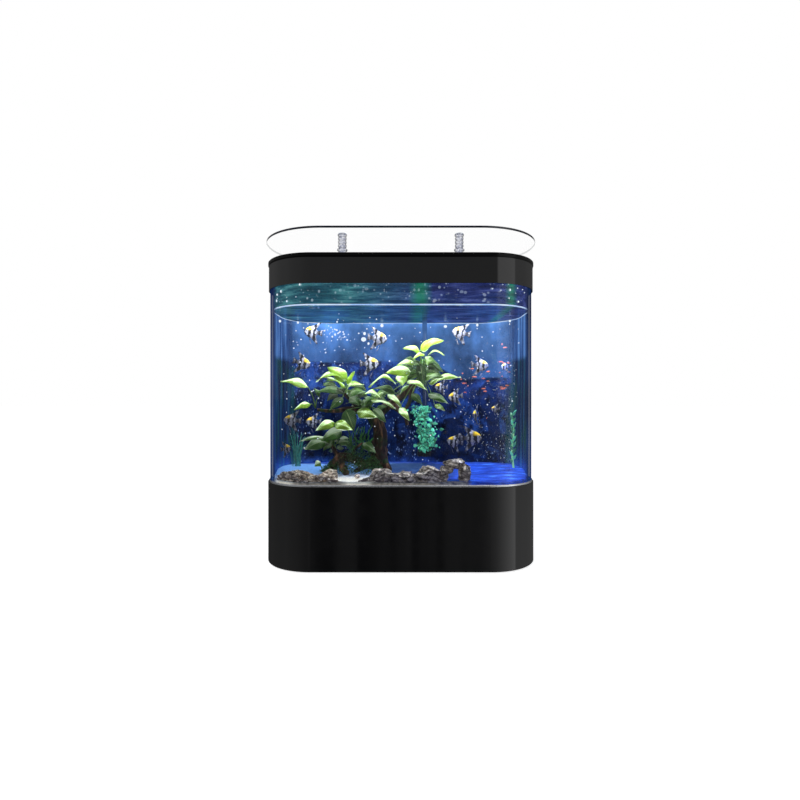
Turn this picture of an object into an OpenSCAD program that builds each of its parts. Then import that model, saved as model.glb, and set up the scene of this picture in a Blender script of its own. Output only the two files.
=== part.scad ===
// Aquarium on stand: a rounded tank between a low cabinet and a hood, with a glass tabletop on pillars.
// Millimetres, +Z up, front towards -Y. The origin is on the floor under the middle of the object.

/* [Overall] */
// Width of the cabinet and of the top lip
body_w = 800; // [740:10:900]
// Depth of the cabinet and of the top lip
body_d = 380; // [370:10:420]
// Radius of the four upright corners
corner_r = 150; // [120:5:150]

/* [Heights] */
// Top of the rubber feet
feet_top = 4; // [3:1:8]
// Top of the cabinet, which carries the tank
cabinet_top = 240; // [230:5:280]
// Lowest edge of the hood band
hood_bottom = 805; // [780:5:840]
// Top face of the hood
hood_top = 890; // [880:5:930]
// Height of the crystal pillars
pillar_h = 65; // [60:1:80]
// Thickness of the tabletop
tabletop_t = 6; // [5:1:10]

/* [Tank] */
// Thickness of the tank glass
glass_t = 8; // [6:1:10]
// Top of the sand
sand_top = 265; // [260:1:280]

/* [Moving parts] */
// Length of each flap from its hinge to its lifted edge
flap_d = 74; // [60:1:74]
// Width of the feed flap
feed_w = 240; // [160:10:260]
// Width of the filter flap
filter_flap_w = 300; // [200:10:310]
// Width of the service door
door_w = 398; // [300:2:400]
// Height of the service door
door_h = 158; // [120:2:160]
// Radial clearance of every turning pin
pin_clearance = 0.05; // [0.02:0.01:0.08]

/* [Hidden] */
$fn = 96;
eps = 1;
gap = 0.2;

// Rounded plans, as [width, depth, corner radius]
body_plan = [body_w, body_d, corner_r];
top_plan = [body_w + 26, body_d + 8, min(corner_r + 40, body_d/2)];
band_plan = [body_w - 4, body_d - 4, corner_r - 2];
glass_plan = [body_w - 12, body_d - 12, corner_r - 6];
trim_plan = [body_w - 6, body_d - 6, corner_r - 3];

// Cabinet
skin_t = 5;
floor_t = 15;
deck_t = 18;
floor_top = feet_top + floor_t;
deck_bottom = cabinet_top - deck_t;
rear_skin = body_d/2 - skin_t;
frame_t = 20;
frame_y = rear_skin - frame_t;
door_gap = 1;
door_mid_z = 120;
door_t = 12;
door_y = rear_skin - 8;
door_pin_x = -door_w/2 + door_t/2;
door_pin_r = 3;
screw_spots = [for (x = [-213, 213], z = [30, 211]) [x, z]];
screw_l = 18;
knob_spot = [172, door_mid_z];
knob_stem_r = 2.5;
strike_x = [163, 187];
strike_z = [189, 198];
strike_t = 1.5;

// Tank
mat_t = 1.5;
floor_glass_t = 6;
trim_top = cabinet_top + 5;
glass_bottom = cabinet_top + mat_t;
tank_floor = glass_bottom + floor_glass_t;
glass_top = hood_bottom + 45;
glass_in_y = glass_plan[1]/2 - glass_t;
seam_w = 1.5;
bead = 5;

// Hood
band_t = 3;
lip_bottom = hood_top - 13;
ledge_top = glass_top + 6;
bar_top = ledge_top + 6;
bar_x = [-300, 62, 300];
bar_w = 16;
plate_bottom = hood_top - 10;
panel_bottom = hood_top - 7;
panel_top = hood_top - 1;
flap_bottom = panel_bottom + 2.3;
ledge_drop = 2;
panel_w = 651;
panel_d = 227;
hinge_z = panel_top - 2.4;
hinge_r = 2.4;
flap_pin_r = 1.4;
flap_pin_reach = 9;
feed_y = -30;
feed_x = 0;
filter_y = 104;
filter_x = -120;

// Lamp
lamp_y = 3;
lamp_w = 50;
lamp_l = 612;
lamp_top = 876;
lamp_wall = 2;
chip_top = lamp_top - 3.6;

// Filter
box_x = [-284, 46];
box_y = [34, 144];
box_z = [834, 876];
box_wall = 3;
box_floor = box_z[0] + box_wall;
sponge_l = 148;
sponge_top = 862;
ring_h = 14;
pipe_x = 80;
pipe_y = 115;
pipe_r = 8;
pipe_in_r = 6.5;
pipe_bottom = 336;
elbow_r = 20;
spout_z = 847;
spout_x = 30;
sleeve_l = 14;

// Pump
pump_z = 312;
motor_y = [125, 168];
rotor_r = 11.7;
shaft_r = 1.5;
outlet_top = 350;
rotor_y = [110, 126, 158];
volute_r = 21;
volute_y = [106, 125];

// Cable gland and its hole
gland_spot = [200, 866];
gland_bore = 3.6;
gland_l = 13.5;

// Buttons
button_spots = [[235, 150], [262, 150]];
button_r = 6;
switch_x = [215, 282];
switch_y = [138, 162];
switch_top = 874;

// Pillars
pillar_spots = [[-167, -142], [167, -142], [-167, 142], [167, 142]];
pillar_flange_r = 15;
pad_t = 0.8;
pad_gap = 0.2;
tabletop_bottom = hood_top + pillar_h + pad_t + pad_gap;

// ---------- shared shapes ----------

// Outline with rounded corners, drawn inwards by inset
module outline(plan, inset = 0) {
  w = plan[0] - 2*inset;
  d = plan[1] - 2*inset;
  r = plan[2] - inset;
  square([w - 2*r, d], center = true);
  square([w, d - 2*r], center = true);
  for (sx = [-1, 1], sy = [-1, 1]) {
    translate([sx*(w/2 - r), sy*(d/2 - r)]) circle(r = r);
  }
}

module slab(plan, inset, z0, z1) {
  translate([0, 0, z0]) linear_extrude(z1 - z0) outline(plan, inset);
}

module ring(plan, inset, t, z0, z1) {
  translate([0, 0, z0]) linear_extrude(z1 - z0) difference() {
    outline(plan, inset);
    outline(plan, inset + t);
  }
}

// Carries a section round the plan. The section's x is 0 on the plan's edge and negative inwards.
module swept(plan) {
  w = plan[0];
  d = plan[1];
  r = plan[2];
  corners = [[1, 1, 0], [-1, 1, 90], [-1, -1, 180], [1, -1, 270]];
  for (c = corners) {
    translate([c[0]*(w/2 - r), c[1]*(d/2 - r), 0]) rotate([0, 0, c[2]])
      rotate_extrude(angle = 90) translate([r, 0]) children();
  }
  for (side = [[0, w/2, d - 2*r], [90, d/2, w - 2*r], [180, w/2, d - 2*r], [270, d/2, w - 2*r]]) {
    rotate([0, 0, side[0]]) translate([side[1], 0, 0]) rotate([90, 0, 0])
      linear_extrude(side[2], center = true) children();
  }
}

module block(low, high) {
  translate(low) cube([high[0] - low[0], high[1] - low[1], high[2] - low[2]]);
}

module rod_x(x0, x1, y, z, r) {
  translate([x0, y, z]) rotate([0, 90, 0]) cylinder(h = x1 - x0, r = r);
}

module rod_y(y0, y1, x, z, r) {
  translate([x, y0, z]) rotate([-90, 0, 0]) cylinder(h = y1 - y0, r = r);
}

module rod_z(z0, z1, x, y, r) {
  translate([x, y, z0]) cylinder(h = z1 - z0, r = r);
}

// ---------- cabinet ----------

module door_opening(y0, y1) {
  half = door_w/2 + door_gap;
  block([-half, y0, door_mid_z - door_h/2 - door_gap], [half, y1, door_mid_z + door_h/2 + door_gap]);
}

module base_skin() {
  color([0.02, 0.02, 0.025]) difference() {
    swept(body_plan) polygon([[-skin_t, feet_top], [-1.5, feet_top], [0, feet_top + 1.5],
      [0, cabinet_top - 1], [-1, cabinet_top], [-skin_t, cabinet_top]]);
    door_opening(rear_skin - eps, body_d/2 + eps);
  }
}

module base_floor() {
  color([0.12, 0.12, 0.12]) slab(body_plan, skin_t + gap, feet_top, floor_top);
}

module base_deck() {
  color([0.12, 0.12, 0.12]) slab(body_plan, skin_t + gap, deck_bottom, cabinet_top);
}

module support_panels() {
  color([0.16, 0.15, 0.14]) for (s = [-1, 1]) {
    block([s*215 - 7.5, -165, floor_top], [s*215 + 7.5, frame_y - 5, deck_bottom]);
  }
}

module foot_pads() {
  color([0.05, 0.05, 0.05]) for (x = [-250, 0, 250], y = [-125, 125]) rod_z(0, feet_top, x, y, 20);
}

module door_frame() {
  pin_z = [door_mid_z - door_h/2 - door_gap - 10, door_mid_z + door_h/2 + door_gap];
  color([0.1, 0.1, 0.1]) difference() {
    block([-225, frame_y, floor_top], [225, rear_skin, deck_bottom]);
    door_opening(frame_y - eps, rear_skin + eps);
    for (z = pin_z) rod_z(z, z + 10, door_pin_x, door_y, door_pin_r);
    for (p = screw_spots) rod_y(frame_y - eps, frame_y + screw_l, p[0], p[1], 2);
  }
}

module door_frame_screws() {
  color("silver") for (p = screw_spots) {
    rod_y(frame_y, frame_y + screw_l, p[0], p[1], 2);
    rod_y(frame_y - 3, frame_y, p[0], p[1], 4);
  }
}

module service_door() {
  z0 = door_mid_z - door_h/2;
  z1 = door_mid_z + door_h/2;
  color([0.02, 0.02, 0.025]) difference() {
    union() {
      block([door_pin_x, door_y - door_t/2, z0], [door_w/2, door_y + door_t/2, z1]);
      rod_z(z0, z1, door_pin_x, door_y, door_t/2);
    }
    for (z = [z0, z1 - 12]) rod_z(z, z + 12, door_pin_x, door_y, door_pin_r + pin_clearance);
    block([strike_x[0], door_y - door_t/2 - eps, strike_z[0]],
      [strike_x[1], door_y - door_t/2 + strike_t, strike_z[1]]);
    rod_y(door_y, door_y + door_t/2 + eps, knob_spot[0], knob_spot[1], knob_stem_r);
  }
}

module door_pins() {
  z0 = door_mid_z - door_h/2;
  z1 = door_mid_z + door_h/2;
  color("silver") {
    rod_z(z0 - door_gap - 10, z0 + 11, door_pin_x, door_y, door_pin_r);
    rod_z(z1 - 11, z1 + door_gap + 10, door_pin_x, door_y, door_pin_r);
  }
}

module door_magnet() {
  color([0.3, 0.3, 0.32]) block([160, 150, 188], [190, door_y - door_t/2 - 0.5, 200]);
}

module door_strike() {
  color("silver") block([strike_x[0], door_y - door_t/2, strike_z[0]],
    [strike_x[1], door_y - door_t/2 + strike_t, strike_z[1]]);
}

module door_knob() {
  color("silver") {
    rod_y(door_y, door_y + door_t/2, knob_spot[0], knob_spot[1], knob_stem_r);
    translate([knob_spot[0], door_y + door_t/2, knob_spot[1]]) rotate([-90, 0, 0]) rotate_extrude()
      polygon([[0, 0], [5, 0], [5, 5], [9, 8], [9, 12], [7.5, 13.5], [0, 13.5]]);
  }
}

// ---------- tank ----------

module bottom_trim() {
  color([0.82, 0.83, 0.85]) swept(trim_plan)
    polygon([[-2.7, cabinet_top], [0, cabinet_top], [0, trim_top - 1], [-1, trim_top], [-2.7, trim_top]]);
}

module foam_mat() {
  color([0.1, 0.1, 0.1]) slab(glass_plan, 0, cabinet_top, glass_bottom);
}

module bottom_glass() {
  color([0.75, 0.88, 0.9, 0.5]) slab(glass_plan, glass_t + gap, glass_bottom, tank_floor);
}

module tank_wall(y0, y1) {
  intersection() {
    ring(glass_plan, 0, glass_t, glass_bottom, glass_top);
    block([-body_w/2, y0, 0], [body_w/2, y1, hood_top]);
  }
}

module front_glass() {
  color([0.75, 0.88, 0.9, 0.3]) tank_wall(-body_d/2, -seam_w/2);
}

module rear_glass() {
  color([0.75, 0.88, 0.9, 0.3]) tank_wall(seam_w/2, body_d/2);
}

module silicone_seams() {
  inner = [for (i = [0, 1, 2]) glass_plan[i] - (i < 2 ? 2*glass_t : glass_t)];
  color([0.05, 0.06, 0.07]) {
    tank_wall(-seam_w/2, seam_w/2);
    swept(inner) polygon([[0, tank_floor], [-bead, tank_floor], [0, tank_floor + bead]]);
  }
}

module backdrop_film() {
  film = [glass_plan[0] + 1, glass_plan[1] + 1, glass_plan[2] + 0.5];
  color([0.05, 0.15, 0.5]) intersection() {
    ring(film, 0, 0.4, trim_top + 1, glass_top - 1);
    block([-body_w/2, 30, 0], [body_w/2, body_d/2, hood_top]);
  }
}

module sand_bed() {
  inset = glass_t + gap;
  color([0.9, 0.88, 0.82]) {
    slab(glass_plan, inset + bead, tank_floor, tank_floor + bead);
    slab(glass_plan, inset, tank_floor + bead, sand_top);
  }
}

// ---------- hood ----------

module hood_band() {
  color([0.02, 0.02, 0.025]) difference() {
    ring(band_plan, 0, band_t, hood_bottom, lip_bottom);
    rod_y(body_d/2 - 12, body_d/2 + eps, gland_spot[0], gland_spot[1], 6);
  }
}

module hood_ledge() {
  color([0.06, 0.06, 0.06]) ring(band_plan, band_t, 27, glass_top, ledge_top);
}

module cross_bars() {
  color([0.1, 0.1, 0.11]) for (x = bar_x) {
    block([x - bar_w/2, -172, ledge_top], [x + bar_w/2, 172, bar_top]);
  }
}

module top_frame() {
  inner_w = panel_w + 1;
  inner_d = panel_d + 1;
  rebate = 8;
  color([0.02, 0.02, 0.025]) difference() {
    union() {
      swept(body_plan) polygon([[-22, lip_bottom], [-2, lip_bottom], [0, lip_bottom + 3.5],
        [0, hood_top - 1.5], [-1.5, hood_top], [-22, hood_top]]);
      slab(body_plan, 21, plate_bottom, hood_top);
    }
    block([-inner_w/2, -inner_d/2, panel_bottom], [inner_w/2, inner_d/2, hood_top + eps]);
    block([rebate - inner_w/2, rebate - inner_d/2, plate_bottom - eps],
      [inner_w/2 - rebate, inner_d/2 - rebate, hood_top]);
    for (p = button_spots) rod_z(plate_bottom - eps, hood_top + eps, p[0], p[1], button_r + 0.3);
  }
}

// Opening for a flap, with a ledge on three sides and holes for its pins
module flap_opening(x, y, w) {
  half = w/2 + 1;
  rim = 6;
  back = y + hinge_r + 0.6;
  block([x - half, y - flap_d - 1, panel_bottom + ledge_drop], [x + half, back, panel_top + eps]);
  block([x - half + rim, y - flap_d - 1 + rim, panel_bottom - eps], [x + half - rim, back, panel_top]);
  block([x - half, y - hinge_r - 0.6, panel_bottom - eps], [x + half, back, panel_top]);
  rod_x(x - half - flap_pin_reach, x + half + flap_pin_reach, y, hinge_z, flap_pin_r);
}

module flap(x, y, w) {
  bore = flap_pin_reach + 1;
  tab_w = 44;
  difference() {
    union() {
      block([x - w/2, y - flap_d, flap_bottom], [x + w/2, y, panel_top]);
      rod_x(x - w/2, x + w/2, y, hinge_z, hinge_r);
      block([x - tab_w/2, y - flap_d, panel_top], [x + tab_w/2, y - flap_d + 4, panel_top + 3]);
    }
    for (x0 = [x - w/2, x + w/2 - bore]) {
      rod_x(x0, x0 + bore, y, hinge_z, flap_pin_r + pin_clearance);
    }
  }
}

module flap_pins(x, y, w) {
  color("silver") {
    rod_x(x - w/2 - 1 - flap_pin_reach, x - w/2 + flap_pin_reach, y, hinge_z, flap_pin_r);
    rod_x(x + w/2 - flap_pin_reach, x + w/2 + 1 + flap_pin_reach, y, hinge_z, flap_pin_r);
  }
}

module top_panel() {
  color([0.05, 0.05, 0.055]) difference() {
    block([-panel_w/2, -panel_d/2, panel_bottom], [panel_w/2, panel_d/2, panel_top]);
    flap_opening(feed_x, feed_y, feed_w);
    flap_opening(filter_x, filter_y, filter_flap_w);
  }
}

module feed_flap() {
  color([0.08, 0.08, 0.09]) flap(feed_x, feed_y, feed_w);
}

module feed_flap_pins() {
  flap_pins(feed_x, feed_y, feed_w);
}

module filter_flap() {
  color([0.08, 0.08, 0.09]) flap(filter_x, filter_y, filter_flap_w);
}

module filter_flap_pins() {
  flap_pins(filter_x, filter_y, filter_flap_w);
}

// ---------- lamp ----------

module lamp_housing() {
  color([0.7, 0.71, 0.73]) difference() {
    block([-lamp_l/2, lamp_y - lamp_w/2, bar_top], [lamp_l/2, lamp_y + lamp_w/2, lamp_top]);
    block([lamp_wall - lamp_l/2, lamp_y - lamp_w/2 + lamp_wall, bar_top - eps],
      [lamp_l/2 - lamp_wall, lamp_y + lamp_w/2 - lamp_wall, lamp_top - lamp_wall]);
  }
}

module led_board() {
  color([0.9, 0.9, 0.88]) block([-300, lamp_y - 20, chip_top], [300, lamp_y + 20, lamp_top - lamp_wall]);
}

module led_chips() {
  color([0.95, 0.9, 0.6]) for (i = [-11:11], y = [lamp_y - 9, lamp_y + 9]) {
    block([i*25 - 2.5, y - 2.5, chip_top - 1.6], [i*25 + 2.5, y + 2.5, chip_top]);
  }
}

module lamp_lens() {
  inset = lamp_wall + gap;
  color([0.95, 0.97, 1, 0.6]) block([inset - lamp_l/2, lamp_y - lamp_w/2 + inset, bar_top + 0.5],
    [lamp_l/2 - inset, lamp_y + lamp_w/2 - inset, bar_top + 2.5]);
}

// ---------- filter ----------

module filter_box() {
  color([0.12, 0.13, 0.15]) difference() {
    union() {
      block([box_x[0], box_y[0], box_z[0]], [box_x[1], box_y[1], box_z[1]]);
      block([box_x[0] - 20, box_y[0], bar_top], [box_x[1] + 20, box_y[1], bar_top + 3]);
    }
    block([box_x[0] + box_wall, box_y[0] + box_wall, box_floor],
      [box_x[1] - box_wall, box_y[1] - box_wall, box_z[1] + eps]);
    for (i = [0:11], j = [0:2]) {
      block([box_x[0] + 16 + i*25, box_y[0] + 14 + j*32, box_z[0] - eps],
        [box_x[0] + 34 + i*25, box_y[0] + 18 + j*32, box_z[0] + box_wall + eps]);
    }
    rod_x(box_x[1] - box_wall - eps, box_x[1] + eps, pipe_y, spout_z, pipe_r + 0.3);
  }
}

module filter_sponge() {
  color([0.15, 0.35, 0.7]) block([box_x[0] + 6, box_y[0] + 5, box_floor + 1],
    [box_x[0] + 6 + sponge_l, box_y[1] - 5, sponge_top]);
}

module ceramic_rings() {
  color([0.88, 0.84, 0.76]) for (i = [0:7], j = [0:4]) {
    translate([-112 + i*18, box_y[0] + 19 + j*18, box_floor + gap]) linear_extrude(ring_h) difference() {
      circle(r = 7);
      circle(r = 4);
    }
  }
}

module riser_pipe() {
  color([0.8, 0.9, 0.95, 0.4]) difference() {
    rod_z(pipe_bottom, spout_z - elbow_r, pipe_x, pipe_y, pipe_r);
    rod_z(pipe_bottom - eps, spout_z, pipe_x, pipe_y, pipe_in_r);
  }
}

module riser_elbow() {
  top = spout_z - elbow_r;
  color([0.1, 0.1, 0.11]) {
    translate([pipe_x - elbow_r, pipe_y, top]) rotate([90, 0, 0]) rotate_extrude(angle = 90)
      translate([elbow_r, 0]) difference() {
        circle(r = pipe_r);
        circle(r = pipe_in_r);
      }
    difference() {
      rod_x(spout_x, pipe_x - elbow_r, pipe_y, spout_z, pipe_r);
      rod_x(spout_x - eps, pipe_x, pipe_y, spout_z, pipe_in_r);
    }
    difference() {
      rod_z(top - sleeve_l, top + 2, pipe_x, pipe_y, pipe_r + 2);
      rod_z(top - sleeve_l - eps, top, pipe_x, pipe_y, pipe_r + 0.05);
      rod_z(top - sleeve_l - eps, top + 3, pipe_x, pipe_y, pipe_in_r);
    }
  }
}

// ---------- pump ----------

module pump_body() {
  color([0.05, 0.05, 0.06]) difference() {
    block([pipe_x - 22, motor_y[0], pump_z - 22], [pipe_x + 22, motor_y[1], pump_z + 22]);
    rod_y(motor_y[0] - eps, motor_y[0] + 35, pipe_x, pump_z, rotor_r + 0.5);
    rod_y(motor_y[0], motor_y[1] - 3, pipe_x, pump_z, shaft_r);
  }
}

module pump_shaft() {
  color("white") rod_y(volute_y[0], motor_y[1] - 3, pipe_x, pump_z, shaft_r);
}

module impeller() {
  color([0.25, 0.25, 0.27]) difference() {
    union() {
      rod_y(rotor_y[1], rotor_y[2], pipe_x, pump_z, rotor_r);
      rod_y(rotor_y[0], rotor_y[1], pipe_x, pump_z, 6);
      for (a = [0:60:300]) {
        translate([pipe_x, rotor_y[0] + 1, pump_z]) rotate([0, a, 0])
          translate([5, 0, -0.8]) cube([9, 11, 1.6]);
      }
    }
    rod_y(rotor_y[0] - eps, rotor_y[2] + eps, pipe_x, pump_z, shaft_r + pin_clearance);
  }
}

module pump_cover() {
  front = volute_y[0];
  color([0.08, 0.08, 0.09]) {
    difference() {
      union() {
        rod_y(front, volute_y[1], pipe_x, pump_z, volute_r);
        rod_z(pump_z + 10, outlet_top, pipe_x, pipe_y, 6.2);
      }
      rod_y(front + 3, volute_y[1] + eps, pipe_x, pump_z, 17);
      rod_y(front - eps, front + 4, pipe_x, pump_z, 10);
      rod_z(pump_z, outlet_top + eps, pipe_x, pipe_y, 4.5);
    }
    difference() {
      union() {
        rod_y(front, front + 3, pipe_x, pump_z, 4);
        for (a = [90, 210, 330]) {
          translate([pipe_x, front, pump_z]) rotate([0, a, 0]) translate([0, 0, -1.5]) cube([11, 3, 3]);
        }
      }
      rod_y(front - eps, front + 4, pipe_x, pump_z, shaft_r);
    }
  }
}

module pump_strainer() {
  back = volute_y[0];
  color([0.08, 0.08, 0.09]) difference() {
    rod_y(back - 14, back, pipe_x, pump_z, volute_r);
    rod_y(back - 12, back + eps, pipe_x, pump_z, volute_r - 2);
    for (a = [0:30:330]) {
      translate([pipe_x, back - 15, pump_z]) rotate([0, a, 0]) translate([6, 0, -1.5]) cube([16, 13, 3]);
    }
  }
}

module suction_cups() {
  color([0.2, 0.22, 0.24]) for (sx = [-1, 1], sz = [-1, 1]) {
    translate([pipe_x + sx*14, motor_y[1], pump_z + sz*14]) rotate([-90, 0, 0]) rotate_extrude()
      polygon([[0, 0], [3, 0], [3, 4], [10, glass_in_y - motor_y[1]], [0, glass_in_y - motor_y[1]]]);
  }
}

// ---------- switches and cable outlet ----------

module cable_gland() {
  y0 = body_d/2 - 8;
  color([0.05, 0.05, 0.05]) translate([gland_spot[0], y0, gland_spot[1]]) rotate([-90, 0, 0])
    rotate_extrude() polygon([[gland_bore, 0], [8, 0], [8, 2.8], [6, 2.8], [6, 6], [9, 6], [9, 8],
      [5.6, gland_l], [gland_bore, gland_l]]);
}

module switch_block() {
  color([0.1, 0.1, 0.1]) {
    block([switch_x[0], switch_y[0], 862], [switch_x[1], switch_y[1], switch_top]);
    for (x = [switch_x[0], switch_x[1] - 5]) {
      block([x, switch_y[0], switch_top], [x + 5, switch_y[1], plate_bottom]);
    }
  }
}

module push_button(spot) {
  color([0.75, 0.76, 0.78]) {
    rod_z(plate_bottom - 3, hood_top + 2.5, spot[0], spot[1], button_r);
    rod_z(plate_bottom - 3, plate_bottom - 0.4, spot[0], spot[1], button_r + 2);
  }
}

module light_button() {
  push_button(button_spots[0]);
}

module pump_button() {
  push_button(button_spots[1]);
}

// ---------- tabletop and its pillars ----------

// Turned crystal baluster: flanges at both ends and a row of beads between them
module pillar(spot) {
  beads = 3;
  bead_h = (pillar_h - 16)/beads;
  swell = [for (i = [0:beads - 1], a = [0:20:180])
    [10.6 + 2.4*sin(a), 8 + bead_h*(i + (1 - cos(a))/2)]];
  color([0.85, 0.9, 0.97, 0.6]) translate([spot[0], spot[1], hood_top]) rotate_extrude()
    polygon(concat([[0, 0], [pillar_flange_r, 0], [pillar_flange_r, 4], [11.5, 7]], swell,
      [[11.5, pillar_h - 7], [pillar_flange_r, pillar_h - 4], [pillar_flange_r, pillar_h], [0, pillar_h]]));
}

module pillar_front_left() {
  pillar(pillar_spots[0]);
}

module pillar_front_right() {
  pillar(pillar_spots[1]);
}

module pillar_rear_left() {
  pillar(pillar_spots[2]);
}

module pillar_rear_right() {
  pillar(pillar_spots[3]);
}

module pillar_pads() {
  color([0.9, 0.92, 0.95, 0.5]) for (p = pillar_spots) {
    rod_z(hood_top + pillar_h, hood_top + pillar_h + pad_t, p[0], p[1], 12);
  }
}

module tabletop() {
  z0 = tabletop_bottom;
  z1 = z0 + tabletop_t;
  color([0.7, 0.85, 0.85, 0.3]) {
    swept(top_plan) polygon([[-30, z0], [-1, z0], [0, z0 + 1], [0, z1 - 1], [-1, z1], [-30, z1]]);
    slab(top_plan, 29, z0, z1);
  }
}

// ---------- planted scene, all standing on the sand ----------

module above_sand() {
  block([-body_w/2, -body_d/2, sand_top], [body_w/2, body_d/2, hood_bottom]);
}

// A boulder from a few low points; its flat underside is on the sand
module boulder(points, r) {
  intersection() {
    hull() for (p = points) translate([p[0], p[1], sand_top + p[2]]) sphere(r = r, $fn = 16);
    above_sand();
  }
}

module rocks_left() {
  color([0.5, 0.4, 0.28]) {
    boulder([[-335, -92, 2], [-310, -118, 9], [-272, -140, 8], [-262, -115, 6]], 10);
    boulder([[-238, -150, 2], [-215, -155, 8], [-188, -150, 4], [-205, -125, 7]], 10);
  }
}

module rocks_centre() {
  color([0.5, 0.47, 0.44]) {
    boulder([[-88, -150, 2], [-58, -150, 15], [-24, -156, 6], [-55, -122, 10]], 10);
    boulder([[-2, -156, 2], [22, -152, 8], [38, -155, 3], [20, -128, 5]], 8);
    boulder([[58, -150, 4], [88, -148, 20], [108, -150, 8], [88, -122, 12]], 9);
  }
}

module rock_arch() {
  opening_r = 15;
  color([0.45, 0.43, 0.42]) difference() {
    boulder([[134, -140, 3], [140, -138, 30], [160, -136, 38], [180, -142, 4], [165, -120, 20]], 10);
    rod_y(-170, -100, 147, sand_top - 1, opening_r);
  }
}

module limb(a, b, ra, rb) {
  hull() {
    translate(a) sphere(r = ra, $fn = 16);
    translate(b) sphere(r = rb, $fn = 16);
  }
}

module driftwood() {
  crotch = [-75, 0, 430];
  color([0.35, 0.22, 0.12]) intersection() {
    union() {
      limb([-70, 0, sand_top + 6], crotch, 24, 15);
      limb(crotch, [-150, -10, 500], 14, 8);
      limb(crotch, [30, 10, 560], 13, 7);
      limb([-75, 0, 380], [-190, -20, 395], 11, 7);
    }
    above_sand();
  }
}

// Closed outer shape of one leafy crown: a lens, thin at its rim
module crown(x, y, z0, z1, r) {
  mid = (z0 + z1)/2;
  steps = 8;
  translate([x, y, 0]) rotate_extrude($fn = 48)
    polygon([for (i = [0:steps]) [r*sin(180*i/steps) + 0.001, mid - (z1 - z0)/2*cos(180*i/steps)]]);
}

module plants() {
  color([0.3, 0.6, 0.2]) {
    crown(-160, -10, 512, 640, 105);
    crown(55, 5, 572, 680, 95);
    crown(-235, -20, 400, 470, 40);
  }
}

base_skin();
base_floor();
base_deck();
support_panels();
foot_pads();
door_frame();
door_frame_screws();
door_pins();
door_magnet();
service_door();
door_strike();
door_knob();
bottom_trim();
foam_mat();
bottom_glass();
front_glass();
rear_glass();
silicone_seams();
backdrop_film();
hood_band();
hood_ledge();
cross_bars();
top_frame();
top_panel();
feed_flap();
feed_flap_pins();
filter_flap();
filter_flap_pins();
lamp_housing();
led_board();
led_chips();
lamp_lens();
filter_box();
filter_sponge();
ceramic_rings();
pump_body();
pump_cover();
pump_strainer();
pump_shaft();
impeller();
suction_cups();
riser_pipe();
riser_elbow();
cable_gland();
switch_block();
light_button();
pump_button();
pillar_front_left();
pillar_front_right();
pillar_rear_left();
pillar_rear_right();
pillar_pads();
tabletop();
sand_bed();
rocks_left();
rocks_centre();
rock_arch();
driftwood();
plants();
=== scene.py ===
"""Aquarium on stand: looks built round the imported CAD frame. Metres, +Z up, front towards -Y."""

import math
import random

import bmesh
import bpy
import numpy as np
from mathutils import Matrix, Vector, noise


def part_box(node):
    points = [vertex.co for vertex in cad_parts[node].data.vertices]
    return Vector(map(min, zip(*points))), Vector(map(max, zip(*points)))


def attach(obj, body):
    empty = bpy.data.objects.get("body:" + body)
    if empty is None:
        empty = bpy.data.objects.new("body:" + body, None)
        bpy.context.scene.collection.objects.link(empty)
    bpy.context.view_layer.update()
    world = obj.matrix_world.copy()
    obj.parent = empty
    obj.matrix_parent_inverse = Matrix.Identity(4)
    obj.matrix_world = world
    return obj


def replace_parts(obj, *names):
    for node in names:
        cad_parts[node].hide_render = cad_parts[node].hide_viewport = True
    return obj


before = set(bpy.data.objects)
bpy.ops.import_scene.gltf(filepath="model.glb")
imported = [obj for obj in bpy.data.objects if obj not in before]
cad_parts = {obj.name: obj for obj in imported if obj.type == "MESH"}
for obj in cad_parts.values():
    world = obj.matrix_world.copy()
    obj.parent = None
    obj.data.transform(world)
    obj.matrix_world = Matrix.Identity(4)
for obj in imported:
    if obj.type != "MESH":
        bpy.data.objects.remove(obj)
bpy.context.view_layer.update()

MM = 0.001

# Inside of the tank, from the CAD frame
TANK_X, TANK_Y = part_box("bottom_glass")[1].x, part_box("bottom_glass")[1].y
TANK_R = 0.136
SAND_LOW, SAND_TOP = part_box("sand_bed")[0].z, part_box("sand_bed")[1].z
HOOD_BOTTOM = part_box("hood_band")[0].z
GLASS_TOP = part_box("front_glass")[1].z
WATER_Z = HOOD_BOTTOM - 0.0585
# Height at which the colour ramps of the film and the pipe reach 1
RAMP_TOP = 0.85


# ---------- camera, floor, light ----------

def make_camera():
    """A level camera in front, a little above the middle of the tank."""
    data = bpy.data.cameras.new("camera")
    data.lens = 23.27
    data.shift_x, data.shift_y = -0.001, -0.0014
    camera = bpy.data.objects.new("camera", data)
    camera.location = (0, -1.619, 0.484)
    camera.rotation_euler = (math.radians(90), 0, 0)
    bpy.context.scene.collection.objects.link(camera)
    bpy.context.scene.camera = camera


def area_light(name, place, target, size, power, colour=(1, 1, 1)):
    """A soft light that neither the camera nor a reflection sees."""
    data = bpy.data.lights.new(name, "AREA")
    data.shape = "RECTANGLE"
    data.size, data.size_y = size
    data.energy = power
    data.color = colour
    light = bpy.data.objects.new(name, data)
    light.location = place
    light.rotation_euler = (Vector(target) - Vector(place)).to_track_quat("-Z", "Y").to_euler()
    light.visible_camera = False
    light.visible_glossy = False
    bpy.context.scene.collection.objects.link(light)


# ---------- shader helpers ----------

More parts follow.
